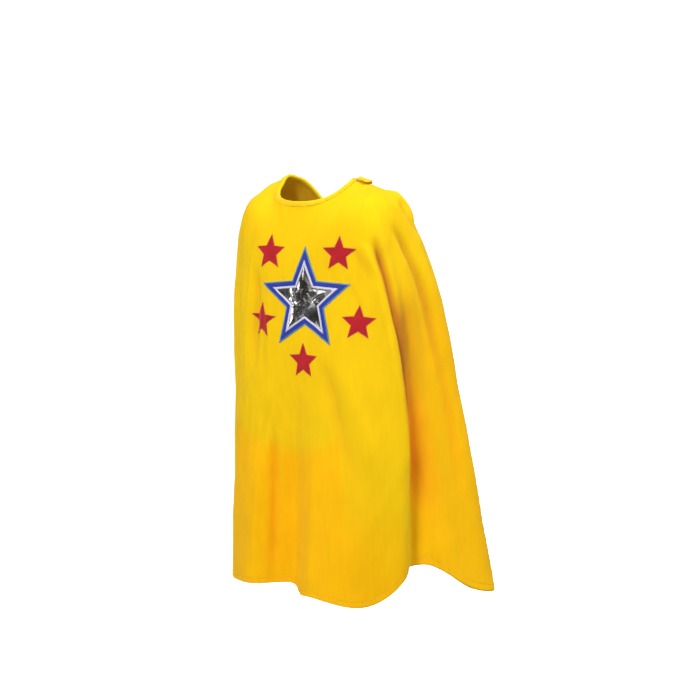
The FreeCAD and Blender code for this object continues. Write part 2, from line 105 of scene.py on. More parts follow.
# Creases of the cloth: three places (turn, down) that each one passes, half width and
# height, negative for a valley.
CREASES = (
    ((66.5, 0.21), (70, 0.33), (72, 0.49), 7.5, -10.5),
    ((70.5, 0.39), (73.2, 0.55), (74, 0.71), 9, -10.5),
    ((73.5, 0.66), (72.5, 0.82), (70, 0.98), 9, -1.5),
    ((61, 0.21), (64, 0.33), (64.5, 0.48), 6, 4.0),
    ((64, 0.42), (66.5, 0.60), (67, 0.84), 6, 4.0),
    ((80, 0.20), (95.4, 0.34), (99.2, 0.56), 8, -6.5),
    ((97, 0.42), (101, 0.62), (99, 0.84), 9, -3.5),
    ((81, 0.23), (86.6, 0.40), (87.4, 0.62), 10, 4.0),
    ((54, 0.205), (60.4, 0.273), (64, 0.345), 5, -3.6),
    ((58, 0.20), (64, 0.27), (66, 0.34), 5, 2.4),
    ((49, 0.26), (53.6, 0.34), (56, 0.39), 4, -2.2),
    ((36, 0.20), (43, 0.26), (46, 0.34), 6, -1.8),
    ((-21, 0.325), (-17, 0.340), (-12, 0.352), 4, -1.6),
    ((27, 0.40), (36, 0.56), (42, 0.78), 13, -5.2),
    ((37, 0.42), (46, 0.58), (52, 0.80), 14, 4.0),
    ((-31, 0.01), (-20, 0.03), (-8, 0.07), 5, 1.4),
    ((-41, 0.15), (-43.8, 0.34), (-43.6, 0.54), 4, 3.4),
    ((-17, 0.49), (-22.4, 0.616), (-27, 0.78), 5, -3.0),
    ((-38, 0.50), (-43, 0.63), (-51, 0.80), 5, 3.0),
    ((-14, 0.54), (-14, 0.76), (-15, 1.06), 8, -7.0),
    ((-24, 0.60), (-24, 0.78), (-25, 1.06), 9, 3.6),
    ((8, 0.72), (5, 0.90), (6, 1.08), 6, -3.0),
    ((92, 0.155), (95, 0.168), (99, 0.182), 3, 1.8),
    ((-60, 0.20), (-58, 0.45), (-64, 0.74), 10, -3.0),
    ((-72, 0.16), (-70, 0.40), (-74, 0.70), 11, 3.0),
    ((-104, 0.14), (-103, 0.30), (-100, 0.50), 8, -3.0),
    ((118, 0.12), (112, 0.24), (109, 0.38), 8, -2.6),
    ((-140, 0.10), (-130, 0.22), (-124, 0.40), 9, -2.6),
    ((22, 0.66), (18, 0.82), (17, 1.05), 12, 2.6),
    ((101, 0.14), (105, 0.185), (111, 0.26), 13, -5.0),
    ((-37, 0.21), (-35.5, 0.335), (-35.5, 0.49), 10, -7.5),
    ((-20.5, 0.22), (-19.5, 0.335), (-19.5, 0.47), 9, 4.2),
    ((107, 0.085), (109.5, 0.155), (111.5, 0.24), 12, 7.0),
    ((-113, -0.03), (-96, 0.02), (-83, 0.10), 14, 5.5),
)


def mix(start, end, share):
    return start + (end - start) * share


def smooth(share):
    share = np.clip(share, 0.0, 1.0)
    return share * share * (3.0 - 2.0 * share)


def bell(away, before, after):
    """1 at the crest and 0 far to either side."""
    return np.exp(-(away / np.where(away < 0, before, after)) ** 2)


def ring_curve(column):
    """The downs, numbers and slopes of one ring dimension."""
    downs = np.array([ring[0] for ring in RINGS])
    numbers = np.array([float(ring[column]) for ring in RINGS])
    steps, rises = np.diff(downs), np.diff(numbers) / np.diff(downs)
    inside = (rises[:-1] * steps[1:] + rises[1:] * steps[:-1]) / (steps[:-1] + steps[1:])
    return downs, numbers, np.concatenate([rises[:1], inside, rises[-1:]])


RING_CURVES = {name: ring_curve(index) for index, name in enumerate(RING_COLUMNS) if index}


def ring_value(name, down):
    """A ring dimension at any down: a smooth cubic through the five rings."""
    downs, numbers, slopes = RING_CURVES[name]
    index = np.clip(np.searchsorted(downs, down, side="right") - 1, 0, len(downs) - 2)
    step = downs[index + 1] - downs[index]
    share = (down - downs[index]) / step
    square, cube = share ** 2, share ** 3
    return ((2 * cube - 3 * square + 1) * numbers[index]
            + (cube - 2 * square + share) * step * slopes[index]
            + (3 * square - 2 * cube) * numbers[index + 1]
            + (cube - square) * step * slopes[index + 1])


def ring_sides(kind, side, back, down):
    """A reach or height towards the nearer flank, and the same towards the back or the front."""
    flank = np.where(side > 0, ring_value("right_" + kind, down), ring_value("left_" + kind, down))
    facing = np.where(back > 0, ring_value("back_" + kind, down), ring_value("front_" + kind, down))
    return flank, facing


def base_drape(turn, down):
    """The outer face of the velour as the CAD model has it."""
    side, back = np.sin(np.radians(turn)), np.cos(np.radians(turn))
    flank, facing = ring_sides("reach", side, back, down)
    radius = np.abs(side / flank) ** ROUNDNESS + np.abs(back / facing) ** ROUNDNESS
    radius = radius ** (-1 / ROUNDNESS)
    share = np.where(back > 0, back ** 2, back ** 4)
    flank, facing = ring_sides("height", side, back, down)
    tilt = NECK_TILT * (1 - smooth(down / NECK_TILT_END))
    height = mix(flank, facing, share) - NECK_TILT_SHARE * tilt * back * side ** 2
    for top, middle, hem, before, after, depth, start in FOLDS:
        crest = (top * (1 - down) * (1 - 2 * down) + middle * 4 * down * (1 - down)
                 + hem * down * (2 * down - 1))
        growth = smooth((down - start) / (1 - start)) ** FOLD_GROWTH
        radius = radius + depth * growth * bell(turn - crest, before, after)
    for top, before, after, rise in RISES:
        height = height + rise * bell(turn - top, before, after) * smooth(down) * down
    lean = -height / LEAN_DROP
    right, front = radius * side + LEAN_RIGHT * lean, -radius * back + LEAN_FRONT * lean
    return np.stack([right, front, height], -1)


NUDGE_TURN, NUDGE_DOWN = 0.1, 0.001   # steps for a slope of the cloth


def outward(turn, down, surface=base_drape):
    """The unit normal of the outer face, pointing away from the wearer."""
    along = surface(turn + NUDGE_TURN, down) - surface(turn - NUDGE_TURN, down)
    below = surface(turn, down + NUDGE_DOWN) - surface(turn, down - NUDGE_DOWN)
    normal = np.cross(below, along)
    return normal / np.linalg.norm(normal, axis=-1, keepdims=True)


def travel_along(points):
    """Distance from the first point to each point along a line of them."""
    return np.concatenate([[0], np.cumsum(np.linalg.norm(np.diff(points, axis=0), axis=1))])


def scale_at(turn, down):
    """Millimetres of cloth in one degree of turn and in one unit of down."""
    turn, down = np.asarray(turn, float), np.asarray(down, float)
    across = base_drape(turn + 0.5, down) - base_drape(turn - 0.5, down)
    along = base_drape(turn, down + 0.005) - base_drape(turn, down - 0.005)
    return np.linalg.norm(across, axis=-1), np.linalg.norm(along, axis=-1) * 100


# --------------------------------------------------------------------------------------
# Finer shape: creases, unevenness, and the pucker beside rows of stitches
# --------------------------------------------------------------------------------------

CREASE_PIECES = 8     # straight pieces that a crease's route is drawn with
CREASE_TAPER = 0.3    # share of its length over which each end of a crease fades
FAR = 1e9             # farther than anything


def crease_routes():
    """Each crease as points in millimetres across and down, with its local scale."""
    routes = []
    for first, middle, last, half_width, height in CREASES:
        scale = np.array([float(s) for s in scale_at(*middle)])
        share = np.linspace(0, 1, CREASE_PIECES + 1)[:, None]
        first, middle, last = (np.array(place) * scale for place in (first, middle, last))
        bend = 2 * middle - (first + last) / 2
        route = (1 - share) ** 2 * first + 2 * share * (1 - share) * bend + share ** 2 * last
        routes.append((scale, route, half_width, height))
    return routes


CREASE_ROUTES = crease_routes()


def leg_distance(x, y, start, leg):
    """How far along a straight leg each point lies, 0 to 1, and its distance from the leg."""
    along = np.clip(((x - start[0]) * leg[0] + (y - start[1]) * leg[1]) / (leg @ leg), 0, 1)
    return along, np.hypot(x - start[0] - along * leg[0], y - start[1] - along * leg[1])


def crease_height(turn, down):
    """Height of all the creases together, off the smooth drape."""
    total = np.zeros(np.broadcast(turn, down).shape)
    for scale, route, half_width, height in CREASE_ROUTES:
        x, y = turn * scale[0], down * scale[1]
        nearest = np.full(total.shape, FAR)
        share = np.zeros(total.shape)
        for index in range(CREASE_PIECES):
            start, leg = route[index], route[index + 1] - route[index]
            along, away = leg_distance(x, y, start, leg)
            closer = away < nearest
            nearest = np.where(closer, away, nearest)
            share = np.where(closer, (index + along) / CREASE_PIECES, share)
        taper = smooth(share / CREASE_TAPER) * smooth((1 - share) / CREASE_TAPER)
        total = total + height * taper * np.exp(-(nearest / half_width) ** 2)
    return total


def unevenness(turn, down):
    """Slow, shallow waves that keep a plain stretch of cloth from looking machined."""
    waves = (np.sin(0.171 * turn + 9.1 * down + 0.4) * np.sin(17.3 * down - 0.043 * turn)
             + 0.6 * np.sin(0.317 * turn - 15.7 * down + 2.1) * np.sin(29.9 * down + 0.11 * turn + 1.3)
             + 0.35 * np.sin(0.61 * turn + 41.0 * down) * np.sin(0.23 * turn - 52.0 * down + 0.7))
    return 0.8 * waves * smooth(down / 0.25)


def edge_turn(side, down):
    turns = RIGHT_EDGE if side == "right" else LEFT_EDGE
    return np.interp(down, EDGE_DOWNS, turns)


def hem_down():
    return 1 - HEM_MARGIN / LEAN_DROP


PUCKER_DEGREES = 3.7      # one wave along the hem
PUCKER_WAVE = 13.0        # one wave along a front edge
PUCKER_REACH = 9.0        # how far a pucker spreads from its row of stitches


def seam_pucker(turn, down):
    """Small waves that the thread draws up along the hem and along both front edges."""
    wave = np.sin(2 * np.pi * turn / PUCKER_DEGREES + 1.1 * np.sin(0.9 * turn))
    total = 0.34 * wave * np.exp(-((down - hem_down()) * LEAN_DROP / PUCKER_REACH) ** 2)
    degree = scale_at(turn, down)[0]
    for side in SIDES:
        inside = np.abs(turn - edge_turn(side, down)) * degree - EDGE_MARGIN
        wave = np.sin(2 * np.pi * down * LEAN_DROP / PUCKER_WAVE + 1.3 * np.sin(23 * down))
        total = total + 0.30 * wave * np.exp(-(inside / PUCKER_REACH) ** 2) * smooth((down - 0.05) / 0.05)
    return total


def rough_height(turn, down):
    return crease_height(turn, down) + unevenness(turn, down) + seam_pucker(turn, down)


def alike(*numbers):
    """The numbers as float arrays of one common shape."""
    return np.broadcast_arrays(*(np.asarray(number, float) for number in numbers))


def drape(turn, down):
    """The outer face of the velour with its finer shape."""
    turn, down = alike(turn, down)
    return base_drape(turn, down) + outward(turn, down) * rough_height(turn, down)[..., None]


def cloth(turn, down, lift=0.0):
    """Points at a lift off the outer face, in millimetres."""
    turn, down, lift = alike(turn, down, lift)
    return drape(turn, down) + outward(turn, down, drape) * lift[..., None]


def down_at(turn, drop):
    """The down that lies a given drop along the cloth from the neckline."""
    turn, drop = alike(turn, drop)
    down = drop / LEAN_DROP
    share = np.linspace(0, 1, 9)
    for _ in range(2):
        points = base_drape(turn[..., None], down[..., None] * share)
        length = np.linalg.norm(np.diff(points, axis=-2), axis=-1).sum(-1)
        down = np.where(length > 0, down * np.abs(drop) / np.maximum(length, 1e-9), down)
    return down


# --------------------------------------------------------------------------------------
# Meshes
# --------------------------------------------------------------------------------------

WELD = 0.004          # points nearer than this are one point
THIN = 1e-7           # metres


def shade_smooth(mesh):
    mesh.polygons.foreach_set("use_smooth", [True] * len(mesh.polygons))
    mesh.update()


def weld_mesh(mesh, reach, mend=False):
    """Joins points nearer than reach, and can mend the thin faces and the normals that leaves."""
    welded = bmesh.new()
    welded.from_mesh(mesh)
    bmesh.ops.remove_doubles(welded, verts=welded.verts, dist=reach * MM)
    if mend:
        bmesh.ops.dissolve_degenerate(welded, edges=welded.edges, dist=THIN)
        bmesh.ops.recalc_face_normals(welded, faces=welded.faces)
    welded.to_mesh(mesh)
    welded.free()


def mesh_object(name, points, faces, weld=0.0):
    """A mesh object from points in millimetres.  faces is a list of index arrays."""
    mesh = bpy.data.meshes.new(name)
    polygons = [face for group in faces for face in np.asarray(group).tolist()]
    mesh.from_pydata((np.asarray(points).reshape(-1, 3) * MM).tolist(), [], polygons)
    if weld:
        weld_mesh(mesh, weld, mend=True)
    shade_smooth(mesh)
    thing = bpy.data.objects.new(name, mesh)
    bpy.context.scene.collection.objects.link(thing)
    return thing


def grid_faces(rows, columns, start=0, close_rows=False, close_columns=False, flip=False):
    """Quads of a grid of points that are stored row by row."""
    row = np.arange(rows if close_rows else rows - 1)
    column = np.arange(columns if close_columns else columns - 1)
    row, column = (a.ravel() for a in np.meshgrid(row, column, indexing="ij"))
    below, beside = (row + 1) % rows, (column + 1) % columns
    quads = np.stack([row * columns + column, row * columns + beside,
                      below * columns + beside, below * columns + column], -1)
    return start + (quads[:, ::-1] if flip else quads)


RIM_ANGLES = np.linspace(0, 90, 5)


def rim_profile(distance, radius):
    """1 inside, falling round to 0 at an edge."""
    away = 1 - np.clip(distance / radius, 0, 1)
    return np.sqrt(np.maximum(1 - away ** 2, 0))


def rim_steps(length, radius, pitch):
    """Distances from 0 to a length: close together round both rims, then even."""
    rim = radius * (1 - np.cos(np.radians(RIM_ANGLES)))
    count = max(2, int(round((length - 2 * radius) / pitch)) + 1)
    inner = np.linspace(radius, length - radius, count)
    return np.concatenate([rim[:-1], inner, (length - rim[:-1])[::-1]])


def set_point_data(thing, name, kind, numbers):
    field = "vector" if kind == "FLOAT_VECTOR" else "value"
    made = thing.data.attributes.new(name, kind, "POINT")
    made.data.foreach_set(field, np.asarray(numbers, np.float32).ravel())


def sheet_object(name, turn, down, middle, half, weld, walls=(), close_columns=False):
    """A sheet with an outer and an inner face, half its thickness to either side of middle."""
    points = np.concatenate([cloth(turn, down, middle + sign * half).reshape(-1, 3) for sign in (1, -1)])
    rows, columns = turn.shape
    faces = [grid_faces(rows, columns, close_columns=close_columns),
             grid_faces(rows, columns, start=turn.size, close_columns=close_columns, flip=True), *walls]
    return mesh_object(name, points, faces, weld=weld)


def slab(name, turns, drops, low, high, pitch, shape=None, rim=None):
    """A closed strip of cloth or tape between two turns and two drops, with round rims."""
    places = np.linspace(turns[0], turns[1], 200)
    travel = travel_along(base_drape(places, down_at(places, np.mean(drops))))
    radius = rim or (high(turns[0]) - low(turns[0])) / 2
    across = rim_steps(travel[-1], radius, pitch)
    along = rim_steps(drops[1] - drops[0], radius, pitch)
    turn = np.interp(across, travel, places)[:, None]
    distance = across[:, None]
    profile = rim_profile(distance, radius) * rim_profile(travel[-1] - distance, radius)
    profile = profile * rim_profile(along, radius) * rim_profile(along[-1] - along, radius)
    turn, drop, distance = np.broadcast_arrays(turn, drops[0] + along, distance)
    if shape:
        turn, drop = shape(turn, drop, distance)
    down = down_at(turn, drop)
    middle, half = (high(turn) + low(turn)) / 2, (high(turn) - low(turn)) / 2
    return sheet_object(name, turn, down, middle, half * profile, WELD)


def tube_pieces(name, centres, sideways, radii, sides):
    """Many short tubes in one mesh, from (pieces, rings, 3) centres and (pieces, 3) side vectors."""
    pieces, rings = centres.shape[:2]
    tangent = np.gradient(centres, axis=1)
    tangent /= np.linalg.norm(tangent, axis=-1, keepdims=True)
    first = np.cross(np.broadcast_to(sideways[:, None], centres.shape), tangent)
    first /= np.linalg.norm(first, axis=-1, keepdims=True)
    second = np.cross(tangent, first)
    angle = np.linspace(0, 2 * np.pi, sides, endpoint=False)
    ring = (first[:, :, None] * np.cos(angle)[None, None, :, None]
            + second[:, :, None] * np.sin(angle)[None, None, :, None])
    points = centres[:, :, None] + ring * np.asarray(radii)[None, :, None, None]
    quads, per_piece = grid_faces(rings, sides, close_columns=True), rings * sides
    faces = [(quads[None] + np.arange(pieces)[:, None, None] * per_piece).reshape(-1, 4)]
    for cap in (np.arange(sides)[::-1], (rings - 1) * sides + np.arange(sides)):
        faces.append(cap[None] + np.arange(pieces)[:, None] * per_piece)
    return mesh_object(name, points.reshape(-1, 3), faces)


def level(lift):
    """A lift that is the same at every turn."""
    return lambda turn: lift + 0 * np.asarray(turn, float)


STITCH_PITCH = 3.1
STITCH_RADIUS = 0.36
STITCH_REACH = 0.41       # half a stitch's length, over the pitch
STITCH_PLACES = (-1.0, -0.75, -0.3, 0.3, 0.75, 1.0)
STITCH_RISE = (-0.55, 0.02, 0.30, 0.30, 0.02, -0.55)
STITCH_SWELL = (0.55, 0.92, 1.0, 1.0, 0.92, 0.55)


def stitch_rows(name, rows, lift_of, pitch=STITCH_PITCH, radius=STITCH_RADIUS):
    """Rows of topstitching.  Each row is (turns, downs), and each stitch is a small bent tube."""
    all_centres, all_sideways = [], []
    for turns, downs in rows:
        lift = lift_of(turns)
        points, normals = cloth(turns, downs, lift), outward(turns, downs, drape)
        travel = travel_along(points)
        count = max(1, int(travel[-1] / pitch))
        start = (travel[-1] - count * pitch) / 2 + pitch / 2
        middles = start + pitch * np.arange(count)
        rise = np.array(STITCH_RISE) * radius / STITCH_RADIUS
        where = middles[:, None] + np.array(STITCH_PLACES)[None] * pitch * STITCH_REACH
        centres = np.stack([np.interp(where, travel, points[:, axis]) for axis in range(3)], -1)
        upward = np.stack([np.interp(where, travel, normals[:, axis]) for axis in range(3)], -1)
        all_centres.append(centres + upward * rise[None, :, None])
        run = centres[:, -1] - centres[:, 0]
        sideways = np.cross(run, upward[:, 2])
        all_sideways.append(sideways / np.linalg.norm(sideways, axis=-1, keepdims=True))
    radii = radius * np.array(STITCH_SWELL)
    return tube_pieces(name, np.concatenate(all_centres), np.concatenate(all_sideways), radii, 6)


# --------------------------------------------------------------------------------------
# Materials
# --------------------------------------------------------------------------------------

MIX_FACTOR, MIX_FIRST, MIX_SECOND, MIX_RESULT = 0, 6, 7, 2    # a colour mix node's sockets


def feed(tree, socket, value):
    """Links or sets one input."""
    if isinstance(value, bpy.types.NodeSocket):
        tree.links.new(value, socket)
    else:
        socket.default_value = value


def add(tree, kind, inputs=None, **settings):
    """Adds a shader node, with its settings, and links or sets its inputs."""
    made = tree.nodes.new("ShaderNode" + kind)
    for name, value in settings.items():
        setattr(made, name, value)
    for name, value in (inputs or {}).items():
        feed(tree, made.inputs[name], value)
    return made


def mixed(tree, factor, first, second, mode="MIX"):
    """A colour mix node's output.  A colour is a socket or three numbers."""
    made = add(tree, "Mix", data_type="RGBA", blend_type=mode)
    for index, value in ((MIX_FACTOR, factor), (MIX_FIRST, first), (MIX_SECOND, second)):
        feed(tree, made.inputs[index], (*value, 1) if isinstance(value, tuple) else value)
    return made.outputs[MIX_RESULT]


def ramp(tree, factor, *stops):
    """A grey or coloured ramp.  stops are (place, colour) with a number for a grey."""
    made = add(tree, "ValToRGB", {"Fac": factor})
    elements = made.color_ramp.elements
    while len(elements) < len(stops):
        elements.new(0.5)
    for element, (place, colour) in zip(elements, stops):
        element.position = place
        element.color = (*colour, 1) if isinstance(colour, tuple) else (colour, colour, colour, 1)
    return made.outputs[0]


def stretched(tree, vector, *scale):
    return add(tree, "Mapping", {"Vector": vector, "Scale": scale}).outputs[0]


def noise(tree, vector, scale, detail=2.0, roughness=0.5, distortion=0.0):
    return add(tree, "TexNoise", {"Vector": vector, "Scale": scale, "Detail": detail,
                                  "Roughness": roughness, "Distortion": distortion}).outputs["Fac"]


def stripes(tree, vector, direction, scale, distortion, detail):
    """Parallel waves, for threads, wales and courses."""
    inputs = {"Vector": vector, "Scale": scale, "Distortion": distortion, "Detail": detail}
    return add(tree, "TexWave", inputs, wave_type="BANDS", bands_direction=direction).outputs["Fac"]


def bump(tree, height, distance, strength, before=None):
    inputs = {"Height": height, "Distance": distance, "Strength": strength}
    if before is not None:
        inputs["Normal"] = before
    return add(tree, "Bump", inputs).outputs[0]


def set_shader(material, **values):
    """Links or sets inputs of a material's shader, named with _ for a space."""
    tree = material.node_tree
    for socket, value in values.items():
        feed(tree, tree.nodes["Principled BSDF"].inputs[socket.replace("_", " ")], value)
    return material


def start_material(name, **shader_values):
    """A material with its node tree."""
    material = bpy.data.materials.new(name)
    material.use_nodes = True
    return set_shader(material, **shader_values), material.node_tree


def object_place(tree):
    return add(tree, "TexCoord").outputs["Object"]


def two_tone(tree, factor, low, high, shade, colour):
    """Shade where the factor is low, colour where it is high, and a blend between."""
    return mixed(tree, ramp(tree, factor, (low, 0.0), (high, 1.0)), shade, colour)


def darkened(tree, colour, factor, low, high, darkest):
    """A colour, darker where the factor is low."""
    return mixed(tree, 1.0, colour, ramp(tree, factor, (low, darkest), (high, 1.0)), "MULTIPLY")


def attribute(tree, name, output="Fac"):
    return add(tree, "Attribute", attribute_name=name).outputs[output]


def velour_material(name, bright, golden, draped=False):
    """Short-pile velour: cut pile with nap streaks, crushed patches and a soft sheen.

    The draped velour turns golden towards the hem and has painted shade in its deep creases and on the
    right arm's side, where its mesh says so."""
    material, tree = start_material(
        name, Roughness=0.9, Sheen_Weight=0.32, Sheen_Roughness=0.35,
        Sheen_Tint=(1.0, 0.80, 0.12, 1), Specular_IOR_Level=0.05)
    if draped:
        where = attribute(tree, "cloth_place", "Vector")
        # Golden towards the hem, and golden painted shade on the right arm's side.
        colour = mixed(tree, attribute(tree, "hem_gold_and_arm_shade"), bright, golden)
        # Painted shade in the deep creases and under the right arm: brown above the waist and orange below.
        down_cloth = add(tree, "SeparateXYZ", {"Vector": where}).outputs["Y"]
        shade = two_tone(tree, down_cloth, 0.36, 0.45, PAINTED_SHADE_ABOVE, PAINTED_SHADE_BELOW)
        colour = mixed(tree, attribute(tree, "painted_fold_shade"), colour, shade)
    else:
        where = object_place(tree)
        colour = mixed(tree, noise(tree, where, 20), bright, golden)
    pile = noise(tree, stretched(tree, where, 1, 0.55, 1), 1500, 3, 0.6)
    streaks = noise(tree, stretched(tree, where, 1, 0.16, 0.16), 150, 3)
    crushed = noise(tree, stretched(tree, where, 1, 0.35, 0.35), 260, 3)
    colour = darkened(tree, colour, noise(tree, where, 13, 3), 0.3, 0.7, 0.94)
    colour = darkened(tree, colour, streaks, 0.3, 0.7, 0.955)
    # Painted shade in the pile's pits: darker where the pile's bump is low.
    colour = darkened(tree, colour, pile, 0.25, 0.62, 0.80)
    normal = bump(tree, pile, 0.0005, 0.55, bump(tree, crushed, 0.0006, 0.45))
    return set_shader(material, Base_Color=colour, Normal=normal)


def knit_material(name, colour, shade):
    """The smooth knitted wrong side of the velour."""
    material, tree = start_material(name, Roughness=0.9, Specular_IOR_Level=0.15)
    where = attribute(tree, "cloth_place", "Vector")
    knit = mixed(tree, 0.5, stripes(tree, where, "X", 420, 0.6, 1), stripes(tree, where, "Y", 520, 0.8, 1))
    tone = mixed(tree, noise(tree, where, 16, 3), colour, shade)
    tone = darkened(tree, tone, knit, 0.2, 0.8, 0.86)
    return set_shader(material, Base_Color=tone, Normal=bump(tree, knit, 0.0002, 0.5))


def thread_material(name, colour, shade):
    """Twisted polyester thread."""
    material, tree = start_material(name, Roughness=0.5, Specular_IOR_Level=0.4,
                                            Sheen_Weight=0.2, Sheen_Roughness=0.4)
    where = object_place(tree)
    twist = stripes(tree, where, "DIAGONAL", 900, 2.0, 1)
    tone = two_tone(tree, twist, 0.2, 0.8, shade, colour)
    tone = darkened(tree, tone, noise(tree, where, 90, 2), 0.3, 0.7, 0.85)
    return set_shader(material, Base_Color=tone, Normal=bump(tree, twist, 0.00012, 0.7))


def felt_material(name, colour, shade, sheen):
    """Brushed polyester cloth for the stars: a short fuzzy nap over a tight weave."""
    material, tree = start_material(
        name, Roughness=0.75, Specular_IOR_Level=0.2, Sheen_Weight=sheen, Sheen_Roughness=0.4,
        Sheen_Tint=(1.0, 0.75, 0.75, 1))
    where = object_place(tree)
    fuzz = noise(tree, stretched(tree, where, 1, 1, 0.5), 1300, 4, 0.65)
    tone = two_tone(tree, noise(tree, where, 60, 3), 0.3, 0.7, shade, colour)
    tone = darkened(tree, tone, fuzz, 0.3, 0.65, 0.62)
    return set_shader(material, Base_Color=tone, Normal=bump(tree, fuzz, 0.00035, 0.7))


def satin_material(name, colour, shade):
    """Dense satin stitch: glossy threads whose ridges are in the mesh."""
    material, tree = start_material(name, Roughness=0.38, Specular_IOR_Level=0.5,
                                            Sheen_Weight=0.3, Sheen_Roughness=0.3)
    where = object_place(tree)
    tone = two_tone(tree, noise(tree, where, 700, 2), 0.3, 0.7, shade, colour)
    normal = bump(tree, noise(tree, where, 1800, 3), 0.0001, 0.5)
    return set_shader(material, Base_Color=tone, Normal=normal)


def foil_material(name):
    """Crinkled metallic foil on cloth, with dark and bright patches of painted reflection between its
    creases.
    """
    material, tree = start_material(name, Metallic=1.0)
    where = object_place(tree)
    # Painted reflections: dark, grey and bright patches in the base colour.
    tone = ramp(tree, noise(tree, where, 26, 4, 0.55, 0.6), (0.38, (0.34, 0.32, 0.29)),
                (0.52, (0.62, 0.60, 0.58)), (0.66, (0.90, 0.90, 0.92)))
    shine = ramp(tree, noise(tree, where, 75, 4), (0.3, 0.12), (0.7, 0.24))
    creases = add(tree, "TexVoronoi", {"Vector": where, "Scale": 70, "Randomness": 1.0},
                  feature="DISTANCE_TO_EDGE").outputs["Distance"]
    folds = bump(tree, ramp(tree, creases, (0.0, 0.0), (0.18, 1.0)), 0.0003, 0.30)
    fine = bump(tree, noise(tree, where, 230, 4, 0.6, 1.2), 0.0003, 0.26, folds)
    return set_shader(material, Base_Color=tone, Roughness=shine, Normal=fine)


def tape_material(name, colour, shade, scale, roughness):
    """Woven tape: a plain weave seen close."""
    material, tree = start_material(name, Roughness=roughness, Specular_IOR_Level=0.3)
    where = object_place(tree)
    weave = mixed(tree, 0.5, stripes(tree, where, "X", scale, 0.8, 2),
                  stripes(tree, where, "Z", scale * 1.2, 0.8, 2))
    tone = two_tone(tree, weave, 0.25, 0.75, shade, colour)
    return set_shader(material, Base_Color=tone, Normal=bump(tree, weave, 0.00015, 0.6))


def fleece_material(name, colour, shade):
    """Non-woven interfacing: pressed fibres in every direction."""
    material, tree = start_material(name, Roughness=0.85, Specular_IOR_Level=0.25)
    fibres = noise(tree, object_place(tree), 650, 5, 0.7, 2.5)
    tone = two_tone(tree, fibres, 0.35, 0.6, shade, colour)
    return set_shader(material, Base_Color=tone, Normal=bump(tree, fibres, 0.0002, 0.6))


YELLOW = (0.92, 0.58, 0.006)
# GOLDEN is the velour towards the hem, and also painted shade on the right arm's side.
GOLDEN = (1.00, 0.52, 0.004)
# Painted shade: the colour of velour in a deep fold, above and below the waist.
PAINTED_SHADE_ABOVE = (0.56, 0.19, 0.018)
PAINTED_SHADE_BELOW = (0.98, 0.25, 0.010)

velour = velour_material("yellow_velour", YELLOW, GOLDEN, draped=True)
velour_trim = velour_material("yellow_velour_trim", (0.92, 0.64, 0.02), YELLOW)
velour_back = knit_material("yellow_velour_wrong_side", (0.86, 0.55, 0.02), (0.80, 0.48, 0.015))
yellow_thread = thread_material("yellow_thread", (1.00, 0.60, 0.010), (0.85, 0.44, 0.006))
blue_cloth = felt_material("blue_cloth", (0.030, 0.055, 0.42), (0.022, 0.042, 0.33), 0.25)
red_cloth = felt_material("red_cloth", (0.56, 0.010, 0.020), (0.44, 0.006, 0.014), 0.3)
light_blue_satin = satin_material("light_blue_satin", (0.10, 0.28, 0.56), (0.05, 0.18, 0.42))
grey_satin = satin_material("grey_satin", (0.74, 0.72, 0.86), (0.58, 0.56, 0.72))
red_satin = satin_material("red_satin", (0.52, 0.012, 0.022), (0.38, 0.006, 0.012))
foil = foil_material("silver_foil_cloth")
label_tape = tape_material("label_tape", (0.90, 0.90, 0.88), (0.74, 0.74, 0.72), 700, 0.45)
loop_base = tape_material("loop_tape", (0.88, 0.58, 0.03), (0.66, 0.40, 0.015), 500, 0.9)
hook_base = tape_material("hook_tape", (0.86, 0.60, 0.06), (0.64, 0.42, 0.03), 450, 0.5)
interfacing = fleece_material("white_interfacing", (0.86, 0.86, 0.84), (0.66, 0.66, 0.65))


def place_piece(thing, material, nodes, body="cape"):
    """Gives a piece its material, the CAD nodes it stands for, and its body."""
    thing.data.materials.append(material)
    if nodes:
        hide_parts(*nodes)
    if body:
        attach(thing, body)
    return thing


# --------------------------------------------------------------------------------------
# The velour
# --------------------------------------------------------------------------------------

# Distances from the hem, a front edge and the neckline at which the mesh has a row, close
# together round the rims, beside the stitches and where the turned ply ends.
HEM_STEPS = (0, 0.12, 0.45, 1.0, 1.9, 3.0, 4.4, 5.8, 7.0, 7.9, 8.6, 9.3, 10.1, 11.2, 12.2, 13.2,
             14.4, 16.5, 19.5)
EDGE_STEPS = (0, 0.12, 0.45, 1.0, 1.9, 3.0, 4.4, 5.6, 6.6, 7.3, 8.0, 8.8, 10.0, 11.4, 12.4, 13.4,
              15.0, 17.5)
NECK_STEPS = (0, 0.12, 0.45, 1.0, 1.9, 3.2)
SHEET_ROWS, SHEET_COLUMNS = ((150, 240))
ROW_SAMPLES = 700     # places along a row that its length is measured with
GROOVE_DEPTH, GROOVE_WIDTH = 0.28, 1.5
HEM_RIM, NECK_RIM = 1.9, 1.0          # radii of the rounded rims
GOLDEN_DOWN, GOLDEN_TURN = 0.600, 36  # the golden part starts here, and lower beyond that turn


def hem_gold_and_arm_shade_at(turn, down):
    """Where the velour's yellow turns golden: towards the hem, and on the right arm's side, where the
    golden is painted shade.
    """
    wobble = 0.006 * np.sin(0.5 * turn) + 0.004 * np.sin(1.3 * turn + 2)
    start = GOLDEN_DOWN + 0.008 * np.maximum(turn - GOLDEN_TURN, 0) + wobble
    width = np.where(turn < GOLDEN_TURN, 0.05, 0.30)
    lower = smooth((down - start) / width)
    # Painted shade: golden on the right arm's side, from below the shoulder down.
    arm = 0.8 * smooth((turn - 67) / 6) * smooth((down - 0.28) / 0.2)
    return np.clip(np.maximum(lower, arm), 0, 1)


DEEP_CREASE = 10      # depth at which a crease gets the full painted shade
BACK_END = 50         # turn where the back panel ends and the right side starts


